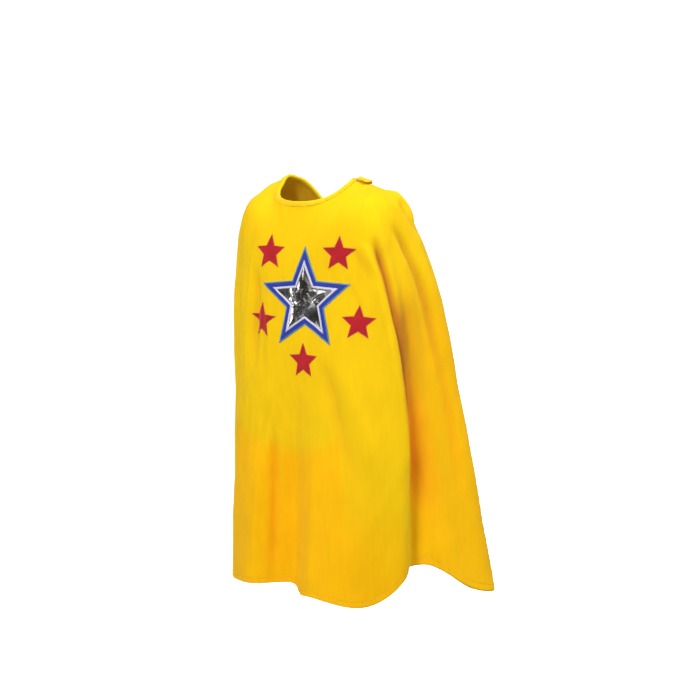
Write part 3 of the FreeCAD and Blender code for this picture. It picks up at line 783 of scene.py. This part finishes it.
def painted_fold_shade_at(turn, down):
    """How much painted shade the velour gets: in the deep creases, and in the fold under the right arm."""
    creased = np.clip(-crease_height(turn, down) / DEEP_CREASE, 0, 1) ** 1.4
    creased = creased * np.where(turn > BACK_END, 1.0, 0.4)
    under_arm = 0.85 * bell(turn - 76, 5, 9) * smooth((down - 0.36) / 0.10) * smooth((0.93 - down) / 0.16)
    return np.clip(creased + under_arm, 0, 1)


def cape_grid():
    """Turns, downs and distances from the left edge of the velour's rows and columns."""
    hem, neck = np.array(HEM_STEPS) / LEAN_DROP, np.array(NECK_STEPS) / LEAN_DROP
    middle = np.linspace(neck[-1], 1 - hem[-1], SHEET_ROWS)
    downs = np.concatenate([neck[:-1], middle, (1 - hem[:-1])[::-1]])
    edges = np.array(EDGE_STEPS)
    turn = np.empty((len(downs), SHEET_COLUMNS + 2 * (len(edges) - 1)))
    across = np.empty_like(turn)
    for row, down in enumerate(downs):
        places = np.linspace(edge_turn("left", down), edge_turn("right", down), ROW_SAMPLES)
        travel = travel_along(base_drape(places, np.full_like(places, down)))
        inner = np.linspace(edges[-1], travel[-1] - edges[-1], SHEET_COLUMNS)
        across[row] = np.concatenate([edges[:-1], inner, (travel[-1] - edges[:-1])[::-1]])
        turn[row] = np.interp(across[row], travel, places)
    return turn, np.broadcast_to(downs[:, None], turn.shape), across


def make_cape():
    turn, down, across = cape_grid()
    width = across.max(1, keepdims=True)
    from_hem, from_neck = (1 - down) * LEAN_DROP, down * LEAN_DROP
    from_edge = np.minimum(across, width - across)
    from_rim = np.minimum(from_hem, from_edge)
    thickness = VELOUR + HEM_PLY * (1 - smooth((from_rim - HEM_WIDTH + 1) / 1.6))
    profile = rim_profile(from_hem, HEM_RIM) * rim_profile(from_edge, HEM_RIM)
    profile = profile * rim_profile(from_neck, NECK_RIM)
    along_hem = np.exp(-((from_hem - HEM_MARGIN) / GROOVE_WIDTH) ** 2) * (from_edge > HEM_MARGIN)
    beside = np.exp(-((from_edge - EDGE_MARGIN) / GROOVE_WIDTH) ** 2)
    beside = beside * ((down > EDGE_ROW_START) & (from_hem > HEM_MARGIN))
    groove = GROOVE_DEPTH * np.maximum(along_hem, beside)
    outer = cloth(turn, down, -thickness / 2 * (1 - profile) - groove).reshape(-1, 3)
    inner = cloth(turn, down, -thickness / 2 * (1 + profile)).reshape(-1, 3)
    front, back = grid_faces(*turn.shape, flip=True), grid_faces(*turn.shape, start=turn.size)
    cape = mesh_object("velour_cape", np.concatenate([outer, inner]), [front, back])
    cape.data.polygons.foreach_set("material_index", [0] * len(front) + [1] * len(back))
    flat = np.stack([across - width / 2, down * LEAN_DROP, 0 * down], -1) * MM
    painted_fold_shade, hem_gold_and_arm_shade = painted_fold_shade_at(turn, down), hem_gold_and_arm_shade_at(turn, down)
    set_point_data(cape, "cloth_place", "FLOAT_VECTOR", [flat, flat])
    # Painted shade for the creases and the fold under the arm, on the outer face only.
    set_point_data(cape, "painted_fold_shade", "FLOAT", [painted_fold_shade, 0 * painted_fold_shade])
    # Golden towards the hem, with painted shade on the right arm's side.
    set_point_data(cape, "hem_gold_and_arm_shade", "FLOAT", [hem_gold_and_arm_shade, hem_gold_and_arm_shade])
    for material in (velour, velour_back):
        cape.data.materials.append(material)
    weld_mesh(cape.data, WELD)
    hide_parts("cape_shell")
    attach(cape, "cape")
    return cape


cape = make_cape()

# --------------------------------------------------------------------------------------
# The neck binding and the rows of topstitching
# --------------------------------------------------------------------------------------

BINDING_STITCH_DROP, BINDING_STITCH_LIFT = 4.6, 1.1
HEM_STITCH_LIFT = -0.30
# Drop and lift of each corner of the folded band's section, from its outer lower edge over
# the neckline to its inner lower edge and back along the velour.
BINDING_SECTION = (
    (6.9, 0.20), (7.25, 0.55), (7.1, 1.10), (6.3, 1.38), (5.3, 1.30), (4.6, 1.02), (3.9, 1.30),
    (2.4, 1.50), (0.8, 1.42), (-0.6, 1.00), (-1.4, 0.10), (-1.7, -1.15), (-1.5, -2.45),
    (-0.6, -3.35), (1.0, -3.70), (4.0, -3.72), (6.6, -3.66), (7.1, -3.20), (6.9, -2.62),
    (4.0, -2.60), (0.8, -2.56), (0.0, -1.20), (0.8, 0.14), (4.0, 0.16),
)


def make_binding():
    turns = np.linspace(LEFT_EDGE[0], RIGHT_EDGE[0], 260)
    section = np.array(BINDING_SECTION)
    turn = np.repeat(turns[:, None], len(section), 1)
    wave = 0.10 * np.sin(turn / 1.9) + 0.07 * np.sin(turn / 0.83 + 1)
    drop = section[None, :, 0] + wave * (section[None, :, 0] > 6)
    lift = section[None, :, 1] + 0.10 * np.sin(turn / 1.3 + 0.6) * (section[None, :, 1] > 0.9)
    points = cloth(turn, down_at(turn, drop), lift)
    count = len(section)
    faces = [grid_faces(len(turns), count, close_columns=True),
             np.arange(count)[None], (np.arange(count)[::-1] + (len(turns) - 1) * count)[None]]
    band = mesh_object("neck_binding_band", points, faces, weld=0.001)
    return place_piece(band, velour_trim, ["neck_binding"])


def make_binding_stitches():
    turns = np.linspace(LEFT_EDGE[0] + 3, RIGHT_EDGE[0] - 3, 900)
    row = (turns, down_at(turns, BINDING_STITCH_DROP))
    stitches = stitch_rows("neck_binding_stitches", [row], level(BINDING_STITCH_LIFT), pitch=2.8)
    return place_piece(stitches, yellow_thread, ["binding_stitching"])


def turn_beside(side, down, margin):
    """The turn that lies a margin in from a front edge."""
    turn = edge_turn(side, down)
    inward = -1 if side == "right" else 1
    return turn + inward * margin / scale_at(turn, down)[0]


def make_hem_stitches():
    down = hem_down()
    turns = np.linspace(*(turn_beside(side, np.array(down), EDGE_MARGIN + 2) for side in SIDES), 3000)
    rows = {"hem": (turns, np.full_like(turns, down))}
    for side in SIDES:
        downs = np.linspace(EDGE_ROW_START, down, 1500)
        rows[side + "_edge"] = (turn_beside(side, downs, EDGE_MARGIN), downs)
    made = []
    for name, row in rows.items():
        stitches = stitch_rows(name + "_stitches", [row], level(HEM_STITCH_LIFT))
        made.append(place_piece(stitches, yellow_thread, [name + "_stitching"]))
    return made


binding = make_binding()
sewn_on_cape = [binding, make_binding_stitches(), *make_hem_stitches()]

# --------------------------------------------------------------------------------------
# The neck strap, its closure and the label
# --------------------------------------------------------------------------------------

PLY_GAP = 0.4
STRAP_DROPS = (8, 29)
STRAP_TURNS = (100, 222)
STRAP_HINGE_TURN = 209
STRAP_SLOPE = (138, 176)
STRAP_THICKNESS = 2.4
TAPE_DROPS = (10, 27)
TAPE_MIDDLE = 18.0
TAPE_TIP = 102
HOOK_END, LOOP_END = 128, 134
TAPE = 1.2
LOOP_TOP = PLY_GAP + TAPE
HOOK_TOP = LOOP_TOP + PLY_GAP + TAPE
STRAP_HIGH, STRAP_LOW = HOOK_TOP + PLY_GAP, 2 * PLY_GAP
STRAP_ROW_MARGIN = 2.2
STRAP_CORNER = 7.0
STRAP_SLANT, SLANT_REACH = 0.16, 40
STRAP_STITCH_SINK = 0.05
BLEND_LENGTH = 0.024  # metres


def strap_under(turn):
    share = (np.asarray(turn, float) - STRAP_SLOPE[0]) / (STRAP_SLOPE[1] - STRAP_SLOPE[0])
    return mix(STRAP_HIGH, STRAP_LOW, smooth(share))


def strap_over(turn):
    return strap_under(turn) + STRAP_THICKNESS


def strap_outline(turn, drop, distance):
    """Rounds the corners of the free end and slants it a little."""
    middle, width = np.mean(STRAP_DROPS), STRAP_DROPS[1] - STRAP_DROPS[0]
    inset = np.clip(1 - distance / STRAP_CORNER, 0, 1)
    narrow = 1 - (1 - np.sqrt(np.maximum(1 - inset ** 2, 0))) * STRAP_CORNER / width * 2
    slant = -STRAP_SLANT * (drop - middle) * np.clip(1 - distance / SLANT_REACH, 0, 1)
    return turn + slant, middle + (drop - middle) * narrow


def hinge_line():
    """Where the strap starts to bend away from its sewn root, and how it runs there."""
    joint = next(j for j in frame["joints"] if j["name"] == "strap_open")
    turns = np.array([STRAP_HINGE_TURN + 2.0, STRAP_HINGE_TURN - 12.0])
    points = cloth(turns, down_at(turns, np.mean(STRAP_DROPS)), 2.0) * MM
    along = Vector(points[1] - points[0]).normalized()
    start = Vector(joint["pos_m"])
    return start, start + along * BLEND_LENGTH


def make_strap():
    strap = slab("neck_strap_cloth", STRAP_TURNS, STRAP_DROPS, strap_under, strap_over,
                 pitch=1.6, shape=strap_outline)
    place_piece(strap, velour_trim, ["neck_strap", "strap_root"], body=None)
    rows = []
    near, far = STRAP_DROPS[0] + STRAP_ROW_MARGIN, STRAP_DROPS[1] - STRAP_ROW_MARGIN
    tip, root = STRAP_TURNS[0] + 2.4, STRAP_TURNS[1] - 1.6
    for drop in (near, far):
        turns = np.linspace(tip + 1.5, root, 600)
        rows.append((turns, down_at(turns, drop)))
    for turn, slant, inset in ((tip, -STRAP_SLANT, 1.5), (root, 0, 0), (STRAP_HINGE_TURN + 1.6, 0, 0)):
        drops = np.linspace(near + inset, far - inset, 60)
        turns = turn + slant * (drops - np.mean(STRAP_DROPS))
        rows.append((turns, down_at(turns, drops)))
    stitches = stitch_rows("neck_strap_stitches", rows, lambda turn: strap_over(turn) - STRAP_STITCH_SINK,
                           pitch=2.6, radius=0.32)
    place_piece(stitches, yellow_thread, ["strap_stitching", "strap_root_stitching"],
                body=None)
    start, end = hinge_line()
    for piece in (strap, stitches):
        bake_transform(piece)
    return strap, stitches


def scatter_on_tape(turns, drops, pitch, seed, jitter):
    """Places, normals and random angles of the hooks or loops of a tape."""
    draw = np.random.default_rng(seed)
    ends = np.array(turns, float)
    first, last = base_drape(ends, down_at(ends, TAPE_MIDDLE))
    length = np.linalg.norm(last - first)
    columns, rows = int(length / pitch), int((drops[1] - drops[0]) / pitch)
    across, along = np.meshgrid((np.arange(columns) + 0.5) / columns, (np.arange(rows) + 0.5) / rows)
    across = across.ravel() + draw.uniform(-jitter, jitter, across.size) / columns
    along = along.ravel() + draw.uniform(-jitter, jitter, along.size) / rows
    turn, drop = mix(turns[0], turns[1], across), mix(drops[0], drops[1], along)
    return turn, down_at(turn, drop), draw.uniform(0, 2 * np.pi, across.size)


def curls(name, turn, down, angle, lift, outline, radius, sides, upright):
    """Small hooks or loops: an outline (sideways, height) stood on the tape at each place."""
    base, normal = cloth(turn, down, lift), outward(turn, down, drape) * upright
    side = np.cross(normal, [0.0, 0.0, 1.0])
    side /= np.linalg.norm(side, axis=-1, keepdims=True)
    other = np.cross(normal, side)
    sideways = side * np.cos(angle)[:, None] + other * np.sin(angle)[:, None]
    outline = np.array(outline)
    centres = (base[:, None] + sideways[:, None] * outline[None, :, 0, None]
               + normal[:, None] * outline[None, :, 1, None])
    return tube_pieces(name, centres, np.cross(sideways, normal), [radius] * len(outline), sides)


def join(first, *others):
    """Joins meshes that share a material into the first one."""
    joined = bmesh.new()
    for thing in (first, *others):
        joined.from_mesh(thing.data)
    joined.to_mesh(first.data)
    joined.free()
    for thing in others:
        bpy.data.objects.remove(thing)
    shade_smooth(first.data)
    return first


def make_closure():
    pile_drops = (TAPE_DROPS[0] + 1.0, TAPE_DROPS[1] - 1.0)
    loop_tape = slab("loop_tape_on_shoulder", (TAPE_TIP, LOOP_END), TAPE_DROPS, level(0.1), level(0.8),
                     pitch=1.5, rim=0.5)
    turn, down, angle = scatter_on_tape((TAPE_TIP + 0.8, LOOP_END - 0.8), pile_drops, 1.15, 11, 0.4)
    arch = [(-0.42 * math.cos(a), math.sin(a)) for a in np.linspace(0, math.pi, 7)]
    loops = curls("loops", turn, down, angle, 0.65, arch, 0.07, 4, 1.0)
    place_piece(join(loop_tape, loops), loop_base, ["loop_patch"])
    hook_low = HOOK_TOP - 0.6
    hook_tape = slab("hook_tape_under_strap", (TAPE_TIP, HOOK_END), TAPE_DROPS, level(hook_low),
                     level(HOOK_TOP + PLY_GAP * 0.6), pitch=1.5, rim=0.4)
    turn, down, angle = scatter_on_tape((TAPE_TIP + 0.8, HOOK_END - 0.8), pile_drops, 1.5, 5, 0.0)
    shank = [(0, -0.1), (0, 0.45), (0.06, 0.66), (0.20, 0.78), (0.36, 0.72), (0.42, 0.56)]
    hooks = curls("hooks", turn, down, 0 * angle, hook_low, shank, 0.10, 5, -1.0)
    place_piece(join(hook_tape, hooks), hook_base, ["hook_patch"], body="neck_strap")
    return loop_tape, hook_tape


LABEL_DROPS = (9, 37)
LABEL_HALF_TURN = 16
LABEL_SAG = 1.6
LABEL_HALF = 0.25     # half its thickness
LABEL_GAP = 0.15      # between it and the velour's wrong side


def make_label():
    """A blank folded tape that hangs from its upper edge inside the back of the neck."""
    turns = np.linspace(-LABEL_HALF_TURN, LABEL_HALF_TURN, 30)
    drops = np.concatenate([np.linspace(LABEL_DROPS[0], LABEL_DROPS[1] - 1, 30), [36.5, 36.8, 36.9]])
    turn, drop = np.meshgrid(turns, drops, indexing="ij")
    share = (drop - LABEL_DROPS[0]) / (LABEL_DROPS[1] - LABEL_DROPS[0])
    hang = LABEL_SAG * share ** 2 + 0.25 * np.sin(turn / 5.0) * share
    middle = -VELOUR - LABEL_GAP - LABEL_HALF - hang
    loop_end = np.clip((drop - 35.5) / 1.4, 0, 1)
    half = LABEL_HALF * np.sqrt(1 - loop_end ** 2 * 0.98)
    rows, columns = turn.shape
    ring = np.concatenate([np.arange(columns), np.arange(1, rows) * columns + columns - 1,
                           (rows - 1) * columns + np.arange(columns - 2, -1, -1),
                           np.arange(rows - 2, 0, -1) * columns])
    after = np.roll(ring, -1)
    walls = np.stack([ring, after, after + turn.size, ring + turn.size], -1)
    label = sheet_object("blank_care_label", turn, down_at(turn, drop), middle, half, 0.001, [walls])
    return place_piece(label, label_tape, ["care_label"])


strap, strap_stitches = make_strap()
loop_tape, hook_tape = make_closure()
label = make_label()
sewn_on_cape.append(loop_tape)

# --------------------------------------------------------------------------------------
# The stars
# --------------------------------------------------------------------------------------

NOTCH = 0.45          # of the tips' radius
# Turn and down of each star's centre, and its roll in degrees.
LARGE_STAR = (17.5, 0.258, 2.8)
RED_STARS = ((-21.5, 0.151, 2), (47.0, 0.209, 0), (-28.0, 0.333, 0), (52.5, 0.392, 0), (13.8, 0.400, 3))
BLUE_EDGING_TIP, BLUE_STAR_TIP = 82, 77
SILVER_BORDER_TIP, SILVER_STAR_TIP = 61, 53
RED_EDGING_TIP, RED_STAR_TIP = 28, 24.4
APPLIQUE, SATIN, FOIL = 0.8, 1.4, 1.0
APPLIQUE_GAP, RED_SATIN, SATIN_THREAD = 0.15, 1.1, 0.9
BACKING_RADIUS, BACKING_HALF = 90, 0.28
SOLVER_STEPS, LARGEST_TURN_STEP, LARGEST_DOWN_STEP = 14, 8, 0.05


def star_plane(seat):
    """Centre and rolled axes of the plane that a star is cut in."""
    turn, down, roll = seat
    outside = outward(np.array(float(turn)), np.array(float(down)))
    across = np.cross([0.0, 0.0, 1.0], outside)
    across /= np.linalg.norm(across)
    upward = np.cross(outside, across)
    angle = math.radians(roll)
    rolled_across = across * math.cos(angle) + upward * math.sin(angle)
    rolled_upward = upward * math.cos(angle) - across * math.sin(angle)
    return base_drape(np.array(float(turn)), np.array(float(down))), rolled_across, rolled_upward


def star_places(seat, x, y):
    """Turn and down of the cloth under each point of a star's plane."""
    centre, across, upward = star_plane(seat)
    turn, down = np.full(x.shape, float(seat[0])), np.full(x.shape, float(seat[1]))
    for _ in range(SOLVER_STEPS):
        here = base_drape(turn, down) - centre
        miss_x, miss_y = here @ across - x, here @ upward - y
        by_turn = base_drape(turn + NUDGE_TURN, down) - base_drape(turn - NUDGE_TURN, down)
        by_down = base_drape(turn, down + NUDGE_DOWN) - base_drape(turn, down - NUDGE_DOWN)
        by_turn, by_down = by_turn / (2 * NUDGE_TURN), by_down / (2 * NUDGE_DOWN)
        a, b, c, d = by_turn @ across, by_down @ across, by_turn @ upward, by_down @ upward
        scale = a * d - b * c
        turn_step, down_step = (d * miss_x - b * miss_y) / scale, (a * miss_y - c * miss_x) / scale
        turn = turn - np.clip(turn_step, -LARGEST_TURN_STEP, LARGEST_TURN_STEP)
        down = down - np.clip(down_step, -LARGEST_DOWN_STEP, LARGEST_DOWN_STEP)
    return turn, down


def star_corners(tip):
    angles = np.radians(90 + 36 * np.arange(10))
    reach = np.where(np.arange(10) % 2, tip * NOTCH, tip)
    return np.stack([reach * np.cos(angles), reach * np.sin(angles)], -1)


def distance_inside(x, y, tip):
    """Distance of each point inside a star from the star's outline."""
    corners = star_corners(tip)
    nearest = np.full(x.shape, FAR)
    for start, end in zip(corners, np.roll(corners, -1, axis=0)):
        nearest = np.minimum(nearest, leg_distance(x, y, start, end - start)[1])
    return nearest


def star_cloth(name, seat, tip, base, height_of, steps):
    """A cut-out star: five arms, each a grid from the centre to its tip, with a round rim."""
    corners = star_corners(tip)
    even = np.linspace(0, 1, steps + 1)
    share = np.concatenate([even[:-1], mix(even[-2], 1, np.array([0.45, 0.75, 0.92, 1.0]))])
    u, v = np.meshgrid(share, share, indexing="ij")
    tops, bottoms, faces = [], [], []
    count = u.size
    for arm in range(5):
        before, point, after = (corners[(2 * arm + k) % 10] for k in (-1, 0, 1))
        weights = np.stack([u * (1 - v), u * v, (1 - u) * v])
        x, y = (sum(w * corner[k] for w, corner in zip(weights, (before, point, after))) for k in (0, 1))
        turn, down = star_places(seat, x, y)
        inside = distance_inside(x, y, tip)
        tops.append(cloth(turn, down, base + height_of(x, y, inside)))
        bottoms.append(cloth(turn, down, base + 0 * x))
        faces.append(grid_faces(*u.shape, start=2 * arm * count))
        faces.append(grid_faces(*u.shape, start=(2 * arm + 1) * count, flip=True))
    points = np.concatenate([p.reshape(-1, 3) for pair in zip(tops, bottoms) for p in pair])
    return mesh_object(name, points, faces, weld=0.01)


def satin_frame(name, seat, inner_tip, outer_tip, base, height):
    """Satin stitch round a star: a puffy band whose threads run across it."""
    inner, outer = star_corners(inner_tip), star_corners(outer_tip)
    side = np.linalg.norm(outer[1] - outer[0])
    per_side = 2 * int(round(side / SATIN_THREAD))
    share = np.arange(per_side) / per_side
    rings = []
    for corners in (inner, outer):
        legs = zip(corners, np.roll(corners, -1, axis=0))
        rings.append(np.concatenate([mix(a[None], b[None], share[:, None]) for a, b in legs]))
    ridge = np.where(np.arange(len(rings[0])) % 2, 1.0, -1.0)
    draw = np.random.default_rng(3)
    ragged = draw.uniform(-0.05, 0.05, len(ridge))
    across = np.array([0.0, 0.06, 0.2, 0.4, 0.6, 0.8, 0.94, 1.0])
    out = across[None] + (ridge * 0.035 + ragged)[:, None] * (2 * across[None] - 1)
    flat = rings[0][:, None] * (1 - out[..., None]) + rings[1][:, None] * out[..., None]
    puff = np.sqrt(np.maximum(1 - (2 * across - 1) ** 2, 0))
    lift = base + (height + 0.11 * ridge[:, None]) * puff[None] ** 0.8
    flat = np.concatenate([flat, flat[:, [5, 2]]], 1)
    lift = np.concatenate([lift, np.full((len(ridge), 2), base - 0.1)], 1)
    turn, down = star_places(seat, flat[..., 0], flat[..., 1])
    points = cloth(turn, down, lift)
    faces = grid_faces(len(ridge), flat.shape[1], close_rows=True, close_columns=True)
    return mesh_object(name, points, [faces], weld=0.001)


def plain_height(thickness):
    """The height of a plain cloth star: a round rim and a little fuzz."""
    def height_of(x, y, inside):
        fuzz = 0.05 * np.sin(1.9 * x + 0.7 * y) * np.sin(1.3 * y - 0.9 * x)
        return thickness * rim_profile(inside, thickness) + fuzz * smooth(inside / 2)
    return height_of


FOIL_CREASE_COUNT = 46


def foil_creases():
    """Seeded creases of the foil: centre, direction, half length, half width and height."""
    draw = np.random.default_rng(29)
    creases = []
    for _ in range(FOIL_CREASE_COUNT):
        reach, bearing = SILVER_STAR_TIP * 0.62 * math.sqrt(draw.uniform()), draw.uniform(0, 2 * math.pi)
        direction = math.radians(draw.choice([-42, -55, 38, 80, 5]) + draw.uniform(-18, 18))
        creases.append((reach * math.cos(bearing), reach * math.sin(bearing), math.cos(direction),
                        math.sin(direction), draw.uniform(5, 17), draw.uniform(1.0, 2.6),
                        draw.uniform(0.25, 0.65) * draw.choice([-1, 1])))
    return creases


FOIL_CREASES = foil_creases()


def foil_height(x, y, inside):
    """Padded foil: a pillow that its border holds down, broken by sharp creases."""
    pillow = 0.9 * smooth(inside / 9)
    crinkle = 0 * x
    for cx, cy, dx, dy, half_length, half_width, height in FOIL_CREASES:
        along, off = (x - cx) * dx + (y - cy) * dy, (y - cy) * dx - (x - cx) * dy
        crinkle = crinkle + height * np.exp(-np.abs(off) / half_width) * np.exp(-(along / half_length) ** 2)
    return FOIL * 0.6 * rim_profile(inside, 0.8) + pillow + crinkle * smooth(inside / 5) * 0.8


def make_large_star():
    made = []
    blue = star_cloth("blue_star_cloth", LARGE_STAR, BLUE_STAR_TIP + 0.6, APPLIQUE_GAP,
                      plain_height(APPLIQUE), 18)
    made.append(place_piece(blue, blue_cloth, ["blue_star"]))
    edge = satin_frame("blue_star_satin_edge", LARGE_STAR, BLUE_STAR_TIP - 0.6, BLUE_EDGING_TIP, 0.0, SATIN)
    made.append(place_piece(edge, light_blue_satin, ["blue_star_edging"]))
    upper = APPLIQUE + 0.2
    silver = star_cloth("silver_star_foil", LARGE_STAR, SILVER_STAR_TIP + 1.5, upper, foil_height, 44)
    made.append(place_piece(silver, foil, ["silver_star"]))
    border = satin_frame("silver_star_satin_border", LARGE_STAR, SILVER_STAR_TIP, SILVER_BORDER_TIP,
                         upper - 0.1, SATIN + 0.3)
    made.append(place_piece(border, grey_satin, ["silver_border"]))
    return made


def make_backing():
    """A round of interfacing on the inside, behind the large star."""
    rim = BACKING_RADIUS - np.array([0.5, 0.2, 0.0])
    radii = np.concatenate([np.linspace(0, BACKING_RADIUS - 1, 40), rim])
    angles = np.linspace(0, 2 * np.pi, 120, endpoint=False)
    radius, angle = np.meshgrid(radii, angles, indexing="ij")
    turn, down = star_places(LARGE_STAR, radius * np.cos(angle), radius * np.sin(angle))
    profile = rim_profile(BACKING_RADIUS - radius, 0.5)
    ripple = 0.25 * np.sin(3 * angle) * (radius / BACKING_RADIUS) ** 3
    disc = sheet_object("star_backing_disc", turn, down, -VELOUR - 0.45 - np.abs(ripple),
                        BACKING_HALF * profile, 0.005, close_columns=True)
    return place_piece(disc, interfacing, ["star_backing"])


def make_red_stars():
    made = []
    for number, seat in enumerate(RED_STARS, start=1):
        red = star_cloth("red_star_cloth_%d" % number, seat, RED_STAR_TIP + 0.8, APPLIQUE_GAP,
                         plain_height(APPLIQUE), 12)
        made.append(place_piece(red, red_cloth, ["red_star_%d" % number]))
        edge = satin_frame("red_star_satin_edge_%d" % number, seat, RED_STAR_TIP - 0.3, RED_EDGING_TIP,
                           0.0, RED_SATIN)
        made.append(place_piece(edge, red_satin, ["red_star_edging_%d" % number]))
    return made


sewn_on_cape.extend(make_large_star())
sewn_on_cape.extend(make_red_stars())
backing = make_backing()

# --------------------------------------------------------------------------------------
# Floor, light and camera
# --------------------------------------------------------------------------------------

FLOOR_HEIGHT = -0.82
VIEW_TURN, VIEW_RISE = math.radians(33), math.radians(9)
VIEW_DISTANCE, VIEW_HEIGHT, VIEW_ASIDE = 3.0, -0.26, 0.053
SENSOR, FIELD_SHARE = 36, 700 / 1920      # the frame's width over the distance it is seen from
ROOM_SIZE, WALL_DISTANCE, WALL_HEIGHT = 60, 28, 20
WHITE = (1.0, 1.0, 1.0)


def stage_plane(name, size, place, facing, colour, glow):
    """A flat part of the studio: its colour, with a glow of its own."""
    bpy.ops.mesh.primitive_plane_add(size=size, location=place)
    plane = bpy.context.object
    plane.name = name
    plane.rotation_euler = Vector(facing).to_track_quat("Z", "Y").to_euler()
    material, tree = start_material(name, Roughness=0.8, Specular_IOR_Level=0.1,
                                            Emission_Color=(1, 1, 1, 1), Emission_Strength=glow)
    grain = ramp(tree, noise(tree, object_place(tree), 3.0, 3), (0.3, colour * 0.97), (0.7, colour))
    plane.data.materials.append(set_shader(material, Base_Color=grain))
    return plane


def show_only(thing, camera=False, glossy=False):
    """Limits what sees a part of the studio, so that it adds no light to the cape."""
    thing.visible_camera, thing.visible_glossy = camera, glossy
    thing.visible_diffuse = thing.visible_shadow = thing.visible_transmission = False


def make_studio():
    floor = stage_plane("pale_floor", ROOM_SIZE, (0, 0, FLOOR_HEIGHT), (0, 0, 1), 0.9, 0.9)
    floor.visible_diffuse = floor.visible_glossy = False
    for side in range(4):
        turn = VIEW_TURN + math.radians(90 * side)
        away = Vector((math.sin(turn), -math.cos(turn), 0))
        place = away * -WALL_DISTANCE + Vector((0, 0, WALL_HEIGHT))
        wall = stage_plane("pale_wall_%d" % side, ROOM_SIZE, place, away, 0.9, 1.0)
        show_only(wall, camera=True)
    card = stage_plane("dark_card", 1.9, (-1.70, -2.40, -0.35), (1.70, 2.40, 0), 0.05, 0.0)
    show_only(card, glossy=True)
    for name, place, size in (("bright_card_left", (-2.45, -1.3, 0.1), 1.0),
                              ("bright_card_high", (-1.0, -2.1, 1.15), 0.9)):
        card = stage_plane(name, size, place, -Vector(place), 0.9, 2.2)
        show_only(card, glossy=True)


def make_light(name, place, target, size, power, colour):
    light = bpy.data.lights.new(name, "AREA")
    light.shape, light.size, light.energy, light.color = "DISK", size, power, colour
    lamp = bpy.data.objects.new(name, light)
    bpy.context.scene.collection.objects.link(lamp)
    lamp.location = place
    lamp.rotation_euler = (Vector(target) - Vector(place)).to_track_quat("-Z", "Y").to_euler()


def make_world():
    world = bpy.data.worlds.new("studio")
    bpy.context.scene.world = world
    world.use_nodes = True
    background = world.node_tree.nodes["Background"]
    background.inputs["Color"].default_value = (1, 1, 1, 1)
    background.inputs["Strength"].default_value = 0.46


def make_camera():
    across, away = math.sin(VIEW_TURN), math.cos(VIEW_TURN)
    level_share = math.cos(VIEW_RISE)
    backward = Vector((across * level_share, -away * level_share, math.sin(VIEW_RISE)))
    target = Vector((VIEW_ASIDE * away, VIEW_ASIDE * across, VIEW_HEIGHT))
    data = bpy.data.cameras.new("camera")
    data.sensor_width = SENSOR
    data.lens = SENSOR / FIELD_SHARE
    camera = bpy.data.objects.new("camera", data)
    bpy.context.scene.collection.objects.link(camera)
    camera.location = target + backward * VIEW_DISTANCE
    camera.rotation_euler = backward.to_track_quat("Z", "Y").to_euler()
    bpy.context.scene.camera = camera


make_studio()
make_light("key", (0.75, -2.75, 1.75), (0.05, 0, -0.35), 0.8, 86, (1.0, 0.99, 0.97))
make_light("side_light", (2.7, 0.6, 1.5), (0.1, 0, -0.3), 0.8, 8, WHITE)
make_light("shoulder_light", (1.3, 0.9, 2.4), (0.1, 0, -0.05), 0.8, 56, WHITE)
make_light("fill", (-2.4, -1.7, 0.6), (0, 0, -0.4), 2.0, 14, (1.0, 0.99, 0.98))
make_world()
make_camera()
bpy.context.scene.view_settings.view_transform = "Standard"
